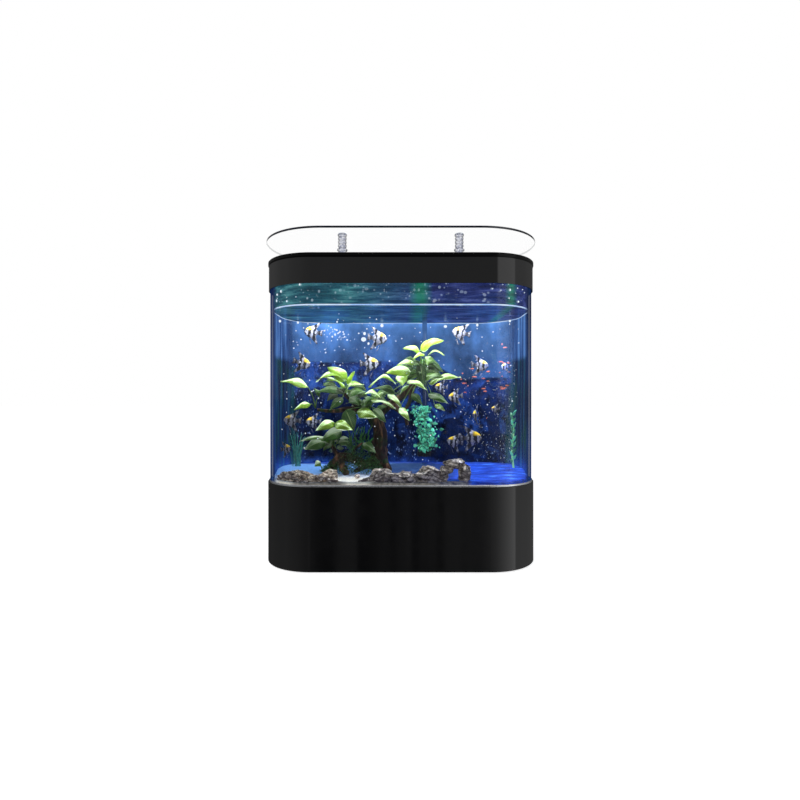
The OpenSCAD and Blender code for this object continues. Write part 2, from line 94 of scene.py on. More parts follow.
class Shader:
    """A material or a world, and short ways to add nodes. An input is a number, a colour or a socket."""

    def __init__(self, name, world=False):
        self.owner = bpy.data.worlds.new(name) if world else bpy.data.materials.new(name)
        self.owner.use_nodes = True
        self.nodes = self.owner.node_tree.nodes
        self.links = self.owner.node_tree.links
        self.nodes.clear()
        self.output = self.nodes.new("ShaderNodeOutputWorld" if world else "ShaderNodeOutputMaterial")

    def add(self, kind, inputs=None, **settings):
        node = self.nodes.new("ShaderNode" + kind)
        for key, value in settings.items():
            setattr(node, key, value)
        for key, value in (inputs or {}).items():
            self.set(node.inputs[key], value)
        return node

    def set(self, socket, value):
        if isinstance(value, bpy.types.NodeSocket):
            self.links.new(value, socket)
        elif isinstance(value, (tuple, list)) and socket.type == "RGBA" and len(value) == 3:
            socket.default_value = (*value, 1)
        else:
            socket.default_value = value

    def place(self, stretch=(1, 1, 1), kind="Object"):
        coordinates = self.add("TexCoord").outputs[kind]
        return self.add("Mapping", {"Vector": coordinates, "Scale": stretch}).outputs[0]

    def axes(self, kind="Object"):
        return self.add("SeparateXYZ", {"Vector": self.add("TexCoord").outputs[kind]}).outputs

    def noise(self, scale, detail=4.0, stretch=(1, 1, 1), roughness=0.55, kind="Object"):
        vector = self.place(stretch, kind)
        inputs = {"Vector": vector, "Scale": scale, "Detail": detail, "Roughness": roughness}
        return self.add("TexNoise", inputs).outputs[0]

    def cells(self, scale, stretch=(1, 1, 1), feature="F1", output="Distance", kind="Object"):
        inputs = {"Vector": self.place(stretch, kind), "Scale": scale}
        return self.add("TexVoronoi", inputs, feature=feature).outputs[output]

    def ramp(self, value, *stops):
        node = self.add("ValToRGB", {"Fac": value})
        elements = node.color_ramp.elements
        while len(elements) < len(stops):
            elements.new(0.5)
        for element, (place, colour) in zip(elements, stops):
            element.position = place
            grey = isinstance(colour, (int, float))
            element.color = (colour, colour, colour, 1) if grey else (*colour, 1)
        return node.outputs[0]

    def math(self, operation, a, b=0.0, c=0.0):
        return self.add("Math", {0: a, 1: b, 2: c}, operation=operation).outputs[0]

    def mix(self, factor, a, b, blend="MIX"):
        node = self.add("Mix", {}, data_type="RGBA", blend_type=blend)
        self.set(node.inputs[0], factor)
        self.set(node.inputs[6], a)
        self.set(node.inputs[7], b)
        return node.outputs[2]

    def bump(self, height, strength=0.3, distance=0.001):
        inputs = {"Height": height, "Strength": strength, "Distance": distance}
        return self.add("Bump", inputs).outputs[0]

    def times(self, a, b):
        return self.math("MULTIPLY", a, b)

    def plus(self, a, b):
        return self.math("ADD", a, b)

    def tint(self, colour, factor):
        """One colour times another."""
        return self.mix(1.0, colour, factor, "MULTIPLY")

    def join(self, factor, a, b):
        return self.add("MixShader", {0: factor, 1: a, 2: b}).outputs[0]

    def both(self, a, b):
        return self.add("AddShader", {0: a, 1: b}).outputs[0]

    def glow(self, colour, strength=1.0):
        return self.add("Emission", {"Color": colour, "Strength": strength}).outputs[0]

    def clear(self, colour):
        return self.add("BsdfTransparent", {"Color": colour}).outputs[0]

    def mirror(self, colour, rough, **others):
        return self.add("BsdfGlossy", {"Color": colour, "Roughness": rough, **others}).outputs[0]

    def skin(self, colour, rough, **others):
        return self.add("BsdfPrincipled", {"Base Color": colour, "Roughness": rough, **others}).outputs[0]

    def normal(self):
        return self.add("SeparateXYZ", {"Vector": self.add("NewGeometry").outputs["Normal"]}).outputs

    def facing(self):
        """0 where a face is seen square on, 1 where it is seen along its plane."""
        return self.add("LayerWeight", {"Blend": 0.5}).outputs["Facing"]

    def inside_glance(self):
        """1 where the back of a face is seen at a slant, 0 square on and from its front."""
        back = self.add("NewGeometry").outputs["Backfacing"]
        return self.times(back, self.ramp(self.facing(), (0.22, 0.0), (0.42, 1.0)))

    def done(self, shader):
        self.links.new(shader, self.output.inputs["Surface"])
        return self.owner


def surface(name, dark, light, scale=40.0, stretch=(1, 1, 1), rough=(0.35, 0.55), metal=0.0,
            grain=0.1, depth=0.0004, shine=0.5):
    """An everyday material: two tones, uneven gloss and a fine relief, all from one noise."""
    s = Shader(name)
    pattern = s.noise(scale, 5.0, stretch)
    colour = s.ramp(pattern, (0.3, dark), (0.7, light))
    gloss = s.ramp(s.noise(scale * 0.37, 3.0, stretch), (0.3, rough[0]), (0.7, rough[1]))
    others = {"Normal": s.bump(pattern, grain, depth), "Metallic": metal, "Specular IOR Level": shine}
    return s.done(s.skin(colour, gloss, **others))


# ---------- materials ----------

def gloss_black():
    s = Shader("gloss_black")
    smudge = s.noise(9.0, 6.0, (1, 1, 0.5))
    colour = s.ramp(smudge, (0.3, (0.0035, 0.0035, 0.004)), (0.8, (0.006, 0.006, 0.0066)))
    gloss = s.ramp(s.noise(23.0, 6.0), (0.35, 0.035), (0.75, 0.10))
    return s.done(s.skin(colour, gloss, Normal=s.bump(s.noise(5.0, 1.0), 0.05, 0.002)))


def clear_glass(name, tint, low, high, edge=None, deep=None):
    """Clear sheet: what is behind shows unbent, and the mirror grows towards a glancing view.

    edge colours every face that isn't level; deep is a painted glow of the tank's blues, shown in the glass
    where it is seen along its thickness.
    """
    s = Shader(name)
    glance = s.math("POWER", s.facing(), 4.5)
    share = s.math("MULTIPLY_ADD", glance, high, low)
    wipe = s.ramp(s.noise(6.0, 5.0), (0.3, 0.01), (0.8, 0.05))
    sheet = s.join(share, s.clear(tint), s.mirror((0.9, 0.95, 1.0), wipe))
    # deep: a painted glow standing in for the lit water seen through the glass at a glance
    if deep:
        tones = s.ramp(s.noise(12.0, 5.0, (1, 1, 0.5)), (0.35, deep[0]), (0.65, deep[1]))
        sheet = s.join(s.ramp(s.facing(), (0.60, 0.0), (0.80, 0.92)), sheet, s.glow(tones))
    if edge:
        level = s.math("GREATER_THAN", s.math("ABSOLUTE", s.normal()[2]), 0.9)
        tones = s.ramp(s.noise(30.0), (0.3, edge[0]), (0.8, edge[1]))
        past = s.ramp(s.plus(s.axes()[1], 0.5), (0.40, 0.0), (0.45, 0.72))
        rim = s.join(past, s.skin(tones, 0.12), s.clear((0.97, 0.98, 0.98)))
        sheet = s.join(level, rim, sheet)
    return s.done(sheet)


def painted_reflection_blues(s, x):
    """Painted reflection of the lit tank in dark streaky blues, for the water's underside and the mist: teal
    to the left, two green patches.
    """
    streaks = s.noise(30.0, 6.0, (0.35, 1, 2.6), 0.65)
    blue = s.ramp(streaks, (0.3, (0.006, 0.01, 0.06)), (0.5, (0.02, 0.034, 0.17)),
                  (0.66, (0.085, 0.12, 0.42)))
    teal = s.ramp(streaks, (0.3, (0.004, 0.028, 0.05)), (0.5, (0.018, 0.11, 0.15)),
                  (0.66, (0.09, 0.33, 0.36)))
    green = s.ramp(streaks, (0.3, (0.003, 0.04, 0.03)), (0.62, (0.02, 0.30, 0.16)))
    left = s.ramp(s.math("MULTIPLY_ADD", x, -1.2, 0.45), (0.36, 0.0), (0.62, 1.0))
    colour = s.mix(left, blue, teal)
    for centre, spread in ((0.055, 0.035), (0.312, 0.02)):
        off = s.math("ABSOLUTE", s.math("SUBTRACT", x, centre))
        near = s.ramp(s.math("DIVIDE", off, spread), (0.2, 0.85), (1.0, 0.0))
        colour = s.mix(near, colour, green)
    return colour


def water_side():
    """The water against the glass: clear from outside, dim upright reflections at a glance from inside,
    mostly a painted reflection glow with a little real mirror.
    """
    s = Shader("water_side")
    z = s.axes()[2]
    streaks = s.noise(42.0, 5.0, (1, 1, 0.07), 0.6)
    high = s.ramp(streaks, (0.36, (0.01, 0.03, 0.12)), (0.5, (0.03, 0.09, 0.28)), (0.62, (0.10, 0.25, 0.60)))
    low = s.ramp(streaks, (0.36, (0.001, 0.004, 0.018)), (0.5, (0.004, 0.016, 0.07)),
                 (0.62, (0.012, 0.07, 0.16)))
    green = s.ramp(s.noise(31.0, 5.0, (1, 1, 0.3), 0.6), (0.50, 0.0), (0.62, 0.7))
    low = s.mix(green, low, (0.006, 0.055, 0.035))
    # Painted blue light near the floor
    painted_floor_light = s.ramp(z, (0.265, (0.006, 0.035, 0.28)), (0.300, (0.001, 0.006, 0.05)), (0.34, 0.0))
    low = s.mix(1.0, low, painted_floor_light, "ADD")
    tones = s.mix(s.ramp(z, (0.606, 0.0), (0.622, 1.0)), low, high)
    # Painted reflection as a glow, mixed with a little real mirror
    inner = s.join(0.12, s.glow(tones), s.mirror((0.40, 0.52, 0.80), 0.03))
    return s.done(s.join(s.inside_glance(), s.clear((0.98, 0.99, 1.0)), inner))


def water_top():
    s = Shader("water_top")
    tones = s.ramp(s.noise(14.0, 4.0), (0.35, (0.12, 0.22, 0.38)), (0.7, (0.45, 0.62, 0.80)))
    waves = s.bump(s.noise(11.0, 3.0, (1, 2.4, 1)), 0.5, 0.006)
    # From below: a real mirror mixed with a painted reflection glow
    below = s.join(0.55, s.mirror(tones, 0.06, Normal=waves), s.glow(painted_reflection_blues(s, s.axes()[0]), 0.8))
    return s.done(s.join(s.inside_glance(), s.clear((0.97, 0.99, 1.0)), below))


def mist():
    """Condensation and splashes on the inside of the glass above the water, glowing in painted reflection
    blues.
    """
    s = Shader("mist")
    x, y, _ = s.axes()
    # The veil glows: painted light in the tank's reflected blues
    veil = s.glow(painted_reflection_blues(s, x), 0.85)
    thick = s.ramp(s.noise(24.0, 5.0, (1, 1, 0.4)), (0.35, 0.72), (0.7, 0.95))
    front = s.ramp(s.math("ADD", y, 0.5), (0.5, 1.0), (0.53, 0.0))
    return s.done(s.join(s.times(thick, front), s.clear((0.9, 0.95, 1.0)), veil))


def backdrop():
    """Blue film with a plain outer face. Its inner face is printed: steel blue above a line that drops to
    the right, and under it a dark rocky scene with blue lights. The printed face also glows a little, painted
    light, and upright dark and green streaks at the curved ends are painted reflections.
    """
    s = Shader("backdrop_print")
    x, y, z = s.axes()
    wander = s.math("MULTIPLY_ADD", s.noise(9.0, 4.0, (1, 1, 0)), 0.016, -0.008)
    drop = s.times(s.ramp(x, (0.10, 0.0), (0.20, 0.058)), s.ramp(z, (0.64, 1.0), (0.72, 0.0)))
    height = s.math("DIVIDE", s.plus(z, s.plus(wander, drop)), RAMP_TOP)
    base = s.ramp(
        height,
        (0.31, (0.008, 0.03, 0.20)),
        (0.34, (0.001, 0.004, 0.022)),
        (0.55, (0.002, 0.008, 0.045)),
        (0.70, (0.005, 0.022, 0.13)),
        (0.718, (0.003, 0.010, 0.05)),
        (0.726, (0.040, 0.115, 0.33)),
        (0.80, (0.055, 0.145, 0.38)),
        (0.855, (0.085, 0.21, 0.52)),
        (0.878, (0.13, 0.32, 0.75)),
        (0.884, (0.006, 0.035, 0.09)),
    )
    soft = s.ramp(s.noise(6.0, 6.0, (1, 1, 0.7), 0.6), (0.36, 0.40), (0.64, 1.55))
    glow_bands = s.ramp(s.noise(13.0, 2.0, (1, 0.3, 0.5)), (0.52, 1.0), (0.72, 1.7))
    sky = s.tint(s.tint(base, soft), glow_bands)
    rocky = s.noise(34.0, 9.0, (1, 1, 0.8), 0.7)
    blocks = s.ramp(s.cells(17.0, (1, 1, 0.75), output="Color"), (0.42, 0.0), (0.68, 1.0))
    lit = s.times(blocks, s.ramp(rocky, (0.42, 0.0), (0.62, 1.0)))
    lit = s.times(lit, s.ramp(height, (0.40, 0.15), (0.62, 1.0)))
    scene = s.mix(lit, s.tint(base, s.ramp(rocky, (0.35, 0.2), (0.65, 2.2))), (0.028, 0.10, 0.46))
    specks = s.ramp(s.cells(125.0, (1, 1, 0.5)), (0.0, 1.0), (0.24, 0.0))
    crowd = s.ramp(s.noise(8.0, 3.0, (1, 1, 0.5)), (0.42, 0.0), (0.56, 1.0))
    scene = s.mix(s.times(specks, crowd), scene, (0.35, 0.5, 0.95), "ADD")
    colour = s.mix(s.math("GREATER_THAN", height, 0.722), scene, sky)
    # Painted reflections at the curved ends: upright dark and green streaks below the line
    edge = s.ramp(s.math("ABSOLUTE", x), (0.352, 0.0), (0.378, 0.8))
    strands = s.noise(40.0, 5.0, (1, 1, 0.15))
    streaks = s.ramp(strands, (0.42, (0.001, 0.008, 0.03)), (0.62, (0.01, 0.16, 0.08)))
    colour = s.mix(s.times(edge, s.math("LESS_THAN", height, 0.70)), colour, streaks)
    # The printed face also glows a little: painted light
    print_side = s.join(0.86, s.skin(colour, 0.6), s.glow(colour))
    plain = s.ramp(s.noise(5.0, 5.0), (0.3, (0.003, 0.012, 0.055)), (0.7, (0.005, 0.018, 0.075)))
    across, deep, _ = s.normal()
    outward = s.math("MULTIPLY_ADD", across, x, s.times(deep, y))
    return s.done(s.join(s.math("GREATER_THAN", outward, 0.0), print_side, s.skin(plain, 0.28)))


def filled_tube():
    """Clear pipe full of water, drawn as a painted glow of the blues behind it: pale above the printed line,
    dark below.
    """
    s = Shader("filled_tube")
    tones = s.ramp(s.math("DIVIDE", s.axes()[2], RAMP_TOP), (0.70, (0.003, 0.012, 0.07)),
                   (0.74, (0.045, 0.125, 0.35)), (0.86, (0.07, 0.18, 0.46)), (0.89, (0.006, 0.03, 0.08)))
    tones = s.tint(tones, s.ramp(s.noise(20.0), (0.3, 0.8), (0.7, 1.1)))
    return s.done(s.join(0.12, s.glow(tones, 0.85), s.mirror((0.7, 0.8, 0.95), 0.05)))


def glowing(name, dark, light, strength, scale=60.0):
    s = Shader(name)
    return s.done(s.glow(s.ramp(s.noise(scale), (0.3, dark), (0.7, light)), strength))


def crystal():
    """Cut glass: each facet glows with its own tone, from deep grey to white, as a painted glint, and the
    glow dims towards the outline as painted shade.
    """
    s = Shader("crystal")
    normal = s.add("NewGeometry").outputs["Normal"]
    turned = s.add("Mapping", {"Vector": normal, "Scale": (2.3, 2.3, 2.3)}).outputs[0]
    flash = s.add("TexVoronoi", {"Vector": turned, "Scale": 2.0}).outputs["Color"]
    tone = s.ramp(flash, (0.25, (0.10, 0.11, 0.19)), (0.42, (0.40, 0.42, 0.55)), (0.62, (0.97, 0.97, 1.0)))
    # Painted shade: the facets' glow dims where they are seen at a slant
    outline = s.ramp(s.facing(), (0.25, 1.0), (0.60, 0.20))
    bright = s.join(0.15, s.glow(s.tint(tone, outline), 0.9), s.mirror((0.9, 0.92, 1.0), 0.03))
    share = s.ramp(s.facing(), (0.2, 0.60), (0.6, 0.95))
    return s.done(s.join(share, s.clear((0.90, 0.92, 0.97)), bright))


def sand_tones(s):
    """White sand at the front left, with painted light and shade: blue light painted over the right and the
    back, a painted shadow in the middle, painted dark blue shade along the back and a painted reflection of
    the rocks along the front edge.
    """
    x, y, _ = s.axes()
    speck = s.noise(900.0, 2.0)
    white = s.ramp(speck, (0.3, (0.38, 0.34, 0.28)), (0.6, (0.72, 0.67, 0.58)))
    rag = s.times(s.noise(18.0, 4.0), 0.12)
    # Painted blue light: deep blue over the right, pale blue over the left back
    right = s.ramp(s.math("MULTIPLY_ADD", x, 2.2, rag), (0.22, 0.0), (0.36, 1.0))
    away = s.math("MULTIPLY_ADD", y, 3.0, s.plus(rag, 0.5))
    left_back = s.ramp(away, (0.16, 0.0), (0.42, 1.0))
    swirl = s.noise(26.0, 6.0, (0.6, 1.6, 1))
    blue = s.ramp(swirl, (0.35, (0.004, 0.02, 0.20)), (0.55, (0.012, 0.07, 0.50)), (0.75, (0.10, 0.34, 0.80)))
    pale = s.ramp(speck, (0.3, (0.07, 0.20, 0.52)), (0.6, (0.20, 0.42, 0.80)))
    colour = s.mix(right, s.mix(left_back, white, pale), blue)
    # Painted shadow in the middle towards the back
    middle = s.ramp(s.plus(s.plus(x, 0.5), rag), (0.48, 0.0), (0.53, 1.0), (0.68, 1.0), (0.74, 0.0))
    shadow = s.times(middle, s.ramp(away, (0.14, 0.0), (0.30, 0.85)))
    colour = s.mix(shadow, colour, (0.005, 0.018, 0.09))
    # Painted dark blue shade along the back
    far = s.ramp(away, (0.93, 0.0), (0.99, 1.0))
    colour = s.mix(far, colour, (0.012, 0.045, 0.28))
    # Painted reflection of the rocks, dark, along the front edge under them
    along = s.math("MULTIPLY_ADD", s.noise(24.0, 3.0), 0.03, s.plus(x, 0.485))
    stones = s.ramp(along, (0.145, 0.0), (0.16, 0.9), (0.335, 0.9), (0.35, 0.0), (0.40, 0.0), (0.42, 0.9),
                    (0.685, 0.9), (0.70, 0.0))
    under = s.times(stones, s.ramp(s.plus(y, 0.5), (0.332, 1.0), (0.340, 0.0)))
    stone = s.ramp(s.noise(90.0, 5.0), (0.35, (0.03, 0.026, 0.022)), (0.65, (0.22, 0.19, 0.16)))
    return s.mix(under, colour, stone), speck


def sand():
    s = Shader("sand")
    colour, speck = sand_tones(s)
    relief = s.bump(s.plus(s.cells(700.0), speck), 0.6, 0.0006)
    # The sand also glows a little: painted light
    return s.done(s.both(s.skin(colour, 0.9, Normal=relief), s.glow(colour, 0.25)))


def glow_floor():
    """White foam and the floor glass over it, with a painted glow standing in for the tank's own light
    shining through.
    """
    s = Shader("lit_floor")
    colour, _ = sand_tones(s)
    return s.done(s.both(s.skin(colour, 0.5), s.glow(colour, 0.45)))


def rock(name, dark, mid, light, scale):
    s = Shader(name)
    grain = s.noise(scale, 9.0, (1, 1, 1.8), 0.68)
    # Darker along the cracks: painted shade
    cracks = s.ramp(s.cells(scale * 0.45, (1, 1, 2.2), "DISTANCE_TO_EDGE"), (0.0, 0.12), (0.06, 1.0))
    colour = s.ramp(grain, (0.36, dark), (0.5, mid), (0.64, light))
    tone = s.add("Attribute", {}, attribute_name="tone").outputs["Color"]
    colour = s.tint(s.tint(colour, cracks), tone)
    relief = s.bump(s.times(grain, cracks), 0.9, 0.003)
    body = s.skin(colour, s.ramp(grain, (0.3, 0.95), (0.7, 0.6)), Normal=relief)
    # A faint glow of the stone colour: painted light
    return s.done(s.both(body, s.glow(colour, 0.16)))


def bark():
    s = Shader("bark")
    grain = s.noise(70.0, 8.0, (1, 1, 0.22), 0.65)
    moss = s.ramp(s.noise(26.0, 4.0), (0.5, 0.0), (0.62, 0.8))
    wood = s.ramp(grain, (0.3, (0.006, 0.003, 0.002)), (0.52, (0.045, 0.02, 0.01)),
                  (0.72, (0.34, 0.16, 0.08)))
    colour = s.mix(moss, wood, (0.015, 0.05, 0.012))
    return s.done(s.skin(colour, 0.75, Normal=s.bump(grain, 0.9, 0.003)))


def leaf_skin(name, shade, body, lime, glow=0.04, shine=0.0):
    """Waxy leaf with a pale midrib and side veins, laid out by the leaf's own width and length. glow adds an
    even painted glow, and shine a painted highlight where the leaf lies near level.
    """
    s = Shader(name)
    across, along, _ = s.axes("UV")
    side = s.math("ABSOLUTE", s.math("SUBTRACT", across, 0.5))
    midrib = s.ramp(side, (0.0, 1.0), (0.035, 0.0))
    slant = s.math("SUBTRACT", s.times(along, 58.0), s.times(side, 46.0))
    veins = s.ramp(s.math("SINE", slant), (0.55, 0.0), (1.0, 0.55))
    tone = s.add("Attribute", {}, attribute_name="tone").outputs["Fac"]
    mottled = s.math("MULTIPLY_ADD", s.noise(55.0, 5.0), 0.5, tone)
    colour = s.ramp(s.times(mottled, 0.7), (0.12, shade), (0.56, body), (0.96, lime))
    colour = s.mix(s.math("MAXIMUM", midrib, veins), colour, s.mix(0.45, colour, (0.62, 0.78, 0.28)))
    relief = s.bump(s.plus(veins, midrib), 0.35, 0.0008)
    wax = s.skin(colour, s.ramp(s.noise(40.0), (0.3, 0.26), (0.7, 0.46)), Normal=relief)
    through = s.add("BsdfTranslucent", {"Color": colour, "Normal": relief}).outputs[0]
    # glow: an even glow of the leaf colour, painted light
    sheet = s.both(s.join(0.28, wax, through), s.glow(colour, glow))
    if not shine:
        return s.done(sheet)
    # Painted highlight: a pale glow where the leaf lies near level, patchy across the blade and stronger on
    # bright leaves
    up = s.add("SeparateXYZ", {"Vector": relief}).outputs[2]
    caught = s.ramp(s.math("ABSOLUTE", up), (0.34, 0.0), (0.66, 1.0))
    uneven = s.math("MULTIPLY_ADD", across, 0.34, s.noise(22.0, 4.0))
    spread = s.ramp(uneven, (0.54, 0.0), (0.64, 1.0))
    bright = s.ramp(tone, (0.3, 0.05), (0.85, 1.0))
    amount = s.times(s.times(caught, spread), bright)
    return s.done(s.both(sheet, s.glow((0.86, 0.96, 0.78), s.times(amount, shine))))


def fish_skin(name, bars, gold):
    """Silver body with black bars and a gold crown. UV runs from tail to nose and from belly to back."""
    s = Shader(name)
    along, up, _ = s.axes("UV")
    warp = s.times(s.noise(7.0, 4.0, kind="UV"), 0.26)
    wave = s.math("SINE", s.times(s.plus(along, warp), 30.0))
    stripes = s.ramp(wave, (0.46 - bars * 0.46, 0.0), (0.66 - bars * 0.46, 1.0))
    patch = s.ramp(s.noise(5.2, 3.0, kind="UV"), (0.38 - 0.2 * bars, 0.0), (0.5 - 0.1 * bars, 1.0))
    scales = s.cells(46.0, kind="UV")
    silver = s.ramp(scales, (0.0, (0.66, 0.64, 0.68)), (0.6, (0.22, 0.22, 0.30)))
    crown = s.times(s.ramp(along, (0.44, 0.0), (0.56, 1.0)), s.ramp(up, (0.55, 0.0), (0.61, 1.0)))
    black = (0.012, 0.012, 0.02)
    colour = s.mix(s.times(stripes, patch), silver, black)
    blots = s.ramp(s.noise(7.0, 3.0, kind="UV"), (0.36, 0.0), (0.5, 1.0))
    colour = s.mix(s.times(s.ramp(along, (0.20, 0.9), (0.36, 0.0)), blots), colour, black)
    colour = s.mix(s.times(crown, gold), colour, (0.98, 0.62, 0.03))
    body = s.skin(colour, s.ramp(scales, (0.0, 0.2), (0.6, 0.4)))
    # A faint glow of the skin colour: painted light
    return s.done(s.both(body, s.glow(colour, 0.10)))


def foam():
    s = Shader("foam")
    pores = s.cells(420.0)
    # Darker in the pores: painted shade
    colour = s.ramp(pores, (0.0, (0.008, 0.04, 0.16)), (0.5, (0.05, 0.22, 0.62)))
    return s.done(s.skin(colour, 0.95, Normal=s.bump(pores, 1.0, 0.002)))


# ---------- mesh helpers ----------

def piece(name, verts, faces, material, smooth=True, uvs=None, tones=None, body="root"):
    """A mesh object that rides on a CAD body. uvs and tones are given per vertex."""
    mesh = bpy.data.meshes.new(name)
    mesh.from_pydata([tuple(v) for v in verts], [], [tuple(f) for f in faces])
    mesh.materials.append(material)
    if smooth:
        mesh.polygons.foreach_set("use_smooth", [True] * len(mesh.polygons))
    corners = np.zeros(len(mesh.loops), int)
    mesh.loops.foreach_get("vertex_index", corners)
    if uvs is not None:
        layer = mesh.uv_layers.new(name="own")
        layer.data.foreach_set("uv", np.array(uvs, float)[corners].ravel())
    if tones is not None:
        colour = mesh.color_attributes.new("tone", "FLOAT_COLOR", "POINT")
        grey = np.repeat(np.array(tones, float)[:, None], 4, axis=1)
        grey[:, 3] = 1.0
        colour.data.foreach_set("color", grey.ravel())
    mesh.validate()
    obj = bpy.data.objects.new(name, mesh)
    bpy.context.scene.collection.objects.link(obj)
    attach(obj, body)
    return obj


def thicken(obj, thickness):
    """Gives a sheet of leaves or fins a thickness, half to each side."""
    made = obj.modifiers.new("solidify", "SOLIDIFY")
    made.thickness = thickness
    made.offset = 0.0


class Collector:
    """Gathers many small meshes into one piece."""

    def __init__(self):
        self.verts, self.faces, self.uvs, self.tones = [], [], [], []

    def add(self, verts, faces, uvs=None, tone=1.0):
        start = len(self.verts)
        self.verts.extend(verts)
        self.faces.extend([tuple(i + start for i in f) for f in faces])
        self.uvs.extend(uvs if uvs is not None else [(0.5, 0.5)] * len(verts))
        self.tones.extend([tone] * len(verts))

    def piece(self, name, material, slot, smooth=True):
        return piece(name, self.verts, self.faces, material, smooth, self.uvs, self.tones)


def grid_faces(rows, columns, closed=False):
    faces = []
    for i in range(rows - 1):
        for j in range(columns - (0 if closed else 1)):
            a, b = i * columns + j, i * columns + (j + 1) % columns
            faces.append((a, b, b + columns, a + columns))
    return faces


def caps(count, total):
    """End faces of a closed grid of total vertices in rings of count."""
    return [tuple(reversed(range(count))), tuple(range(total - count, total))]


def blob(centre, radii, unit):
    """The unit ball's vertices stretched by radii and moved to centre."""
    return [Vector([c + r * a for c, r, a in zip(centre, radii, v)]) for v in unit]


def ball(level):
    """Vertices and faces of a unit icosphere."""
    mesh = bpy.data.meshes.new("ball")
    made = bmesh.new()
    bmesh.ops.create_icosphere(made, subdivisions=level, radius=1.0)
    made.to_mesh(mesh)
    made.free()
    verts = [v.co.copy() for v in mesh.vertices]
    faces = [tuple(p.vertices) for p in mesh.polygons]
    bpy.data.meshes.remove(mesh)
    return verts, faces


def smooth_path(points, steps):
    """Catmull-Rom curve through the points."""
    pts = [Vector(p) for p in points]
    pts = [pts[0] * 2 - pts[1], *pts, pts[-1] * 2 - pts[-2]]
    path = []
    for i in range(1, len(pts) - 2):
        for k in range(steps):
            t = k / steps
            a, b, c, d = pts[i - 1], pts[i], pts[i + 1], pts[i + 2]
            path.append(0.5 * (2 * b + (c - a) * t + (2 * a - 5 * b + 4 * c - d) * t * t
                               + (3 * b - a - 3 * c + d) * t ** 3))
    path.append(pts[-2])
    return path


def tube(path, radius_at, sides=12, rough=0.0, seed=0.0):
    """A capped tube along path. radius_at takes 0 to 1; rough adds knots and ridges."""
    verts, side = [], Vector((1, 0, 0.01)).normalized()
    for i, centre in enumerate(path):
        ahead = (path[min(i + 1, len(path) - 1)] - path[max(i - 1, 0)]).normalized()
        side = (side - ahead * side.dot(ahead)).normalized()
        other = ahead.cross(side)
        radius = radius_at(i / (len(path) - 1))
        for k in range(sides):
            angle = 2 * math.pi * k / sides
            out = side * math.cos(angle) + other * math.sin(angle)
            lump = 1.0
            if rough:
                spot = Vector((out.x * 2.2, out.y * 2.2, centre.z * 22 + centre.x * 9 + seed))
                ridge = 0.3 * math.sin(angle * 6 + centre.z * 40)
                lump += rough * (1.3 * noise.fractal(spot, 0.8, 2.2, 5) + ridge)
            verts.append(centre + out * radius * lump)
    return verts, grid_faces(len(path), sides, closed=True) + caps(sides, len(verts))


def wall_y(x, inset=0.0):
    """Half depth of the tank's inside at x."""
    past = abs(x) - (TANK_X - TANK_R)
    r = TANK_R - inset
    if past <= 0:
        return TANK_Y - inset
    return TANK_Y - TANK_R + math.sqrt(max(r * r - past * past, 0.0))


def plan_loop(inset):
    """The tank's inside outline, drawn inwards by inset, anticlockwise from +X."""
    arc_steps = 16
    cx, cy, r = TANK_X - TANK_R, TANK_Y - TANK_R, TANK_R - inset
    loop = []
    for sx, sy, start in ((1, 1, 0), (-1, 1, 90), (-1, -1, 180), (1, -1, 270)):
        for k in range(arc_steps + 1):
            a = math.radians(start + 90 * k / arc_steps)
            loop.append((sx * cx + r * math.cos(a), sy * cy + r * math.sin(a)))
    return loop


def band(profile):
    """Carries a profile of (inset, z) points round the tank's inside."""
    rings = [[(x, y, z) for x, y in plan_loop(inset)] for inset, z in profile]
    count = len(rings[0])
    return [v for ring in rings for v in ring], grid_faces(len(rings), count, closed=True)


# ---------- water ----------

def make_water():
    verts, faces = band([(0.0004, WATER_Z), (0.0004, SAND_LOW)])
    faces = [tuple(reversed(f)) for f in faces]
    piece("water_sides", verts, faces, water_side())
    verts, faces = band([(0.0007, WATER_Z + 0.0035), (0.0007, GLASS_TOP - 0.002)])
    piece("glass_mist", verts, faces, mist())
    rows, columns = 30, 90
    verts = []
    for i in range(rows + 1):
        for j in range(columns + 1):
            x = (2 * j / columns - 1) * (TANK_X - 0.0008)
            y = (2 * i / rows - 1) * (wall_y(x) - 0.0008)
            lift = 0.0011 * noise.noise(Vector((x * 16, y * 26, 3)))
            verts.append((x, y, WATER_Z + lift))
    piece("water_surface", verts, grid_faces(rows + 1, columns + 1), water_top())
    # The meniscus: a glowing ring along the waterline, a painted highlight
    curve = [(0.0004, WATER_Z + 0.0028), (0.0009, WATER_Z + 0.0012), (0.0022, WATER_Z + 0.0004),
             (0.0022, WATER_Z - 0.0006), (0.0004, WATER_Z - 0.0012)]
    verts, faces = band(curve + curve[:1])
    piece("water_edge", verts, faces, glowing("meniscus", (0.30, 0.52, 0.95), (0.85, 0.93, 1.0), 1.0, 25.0))


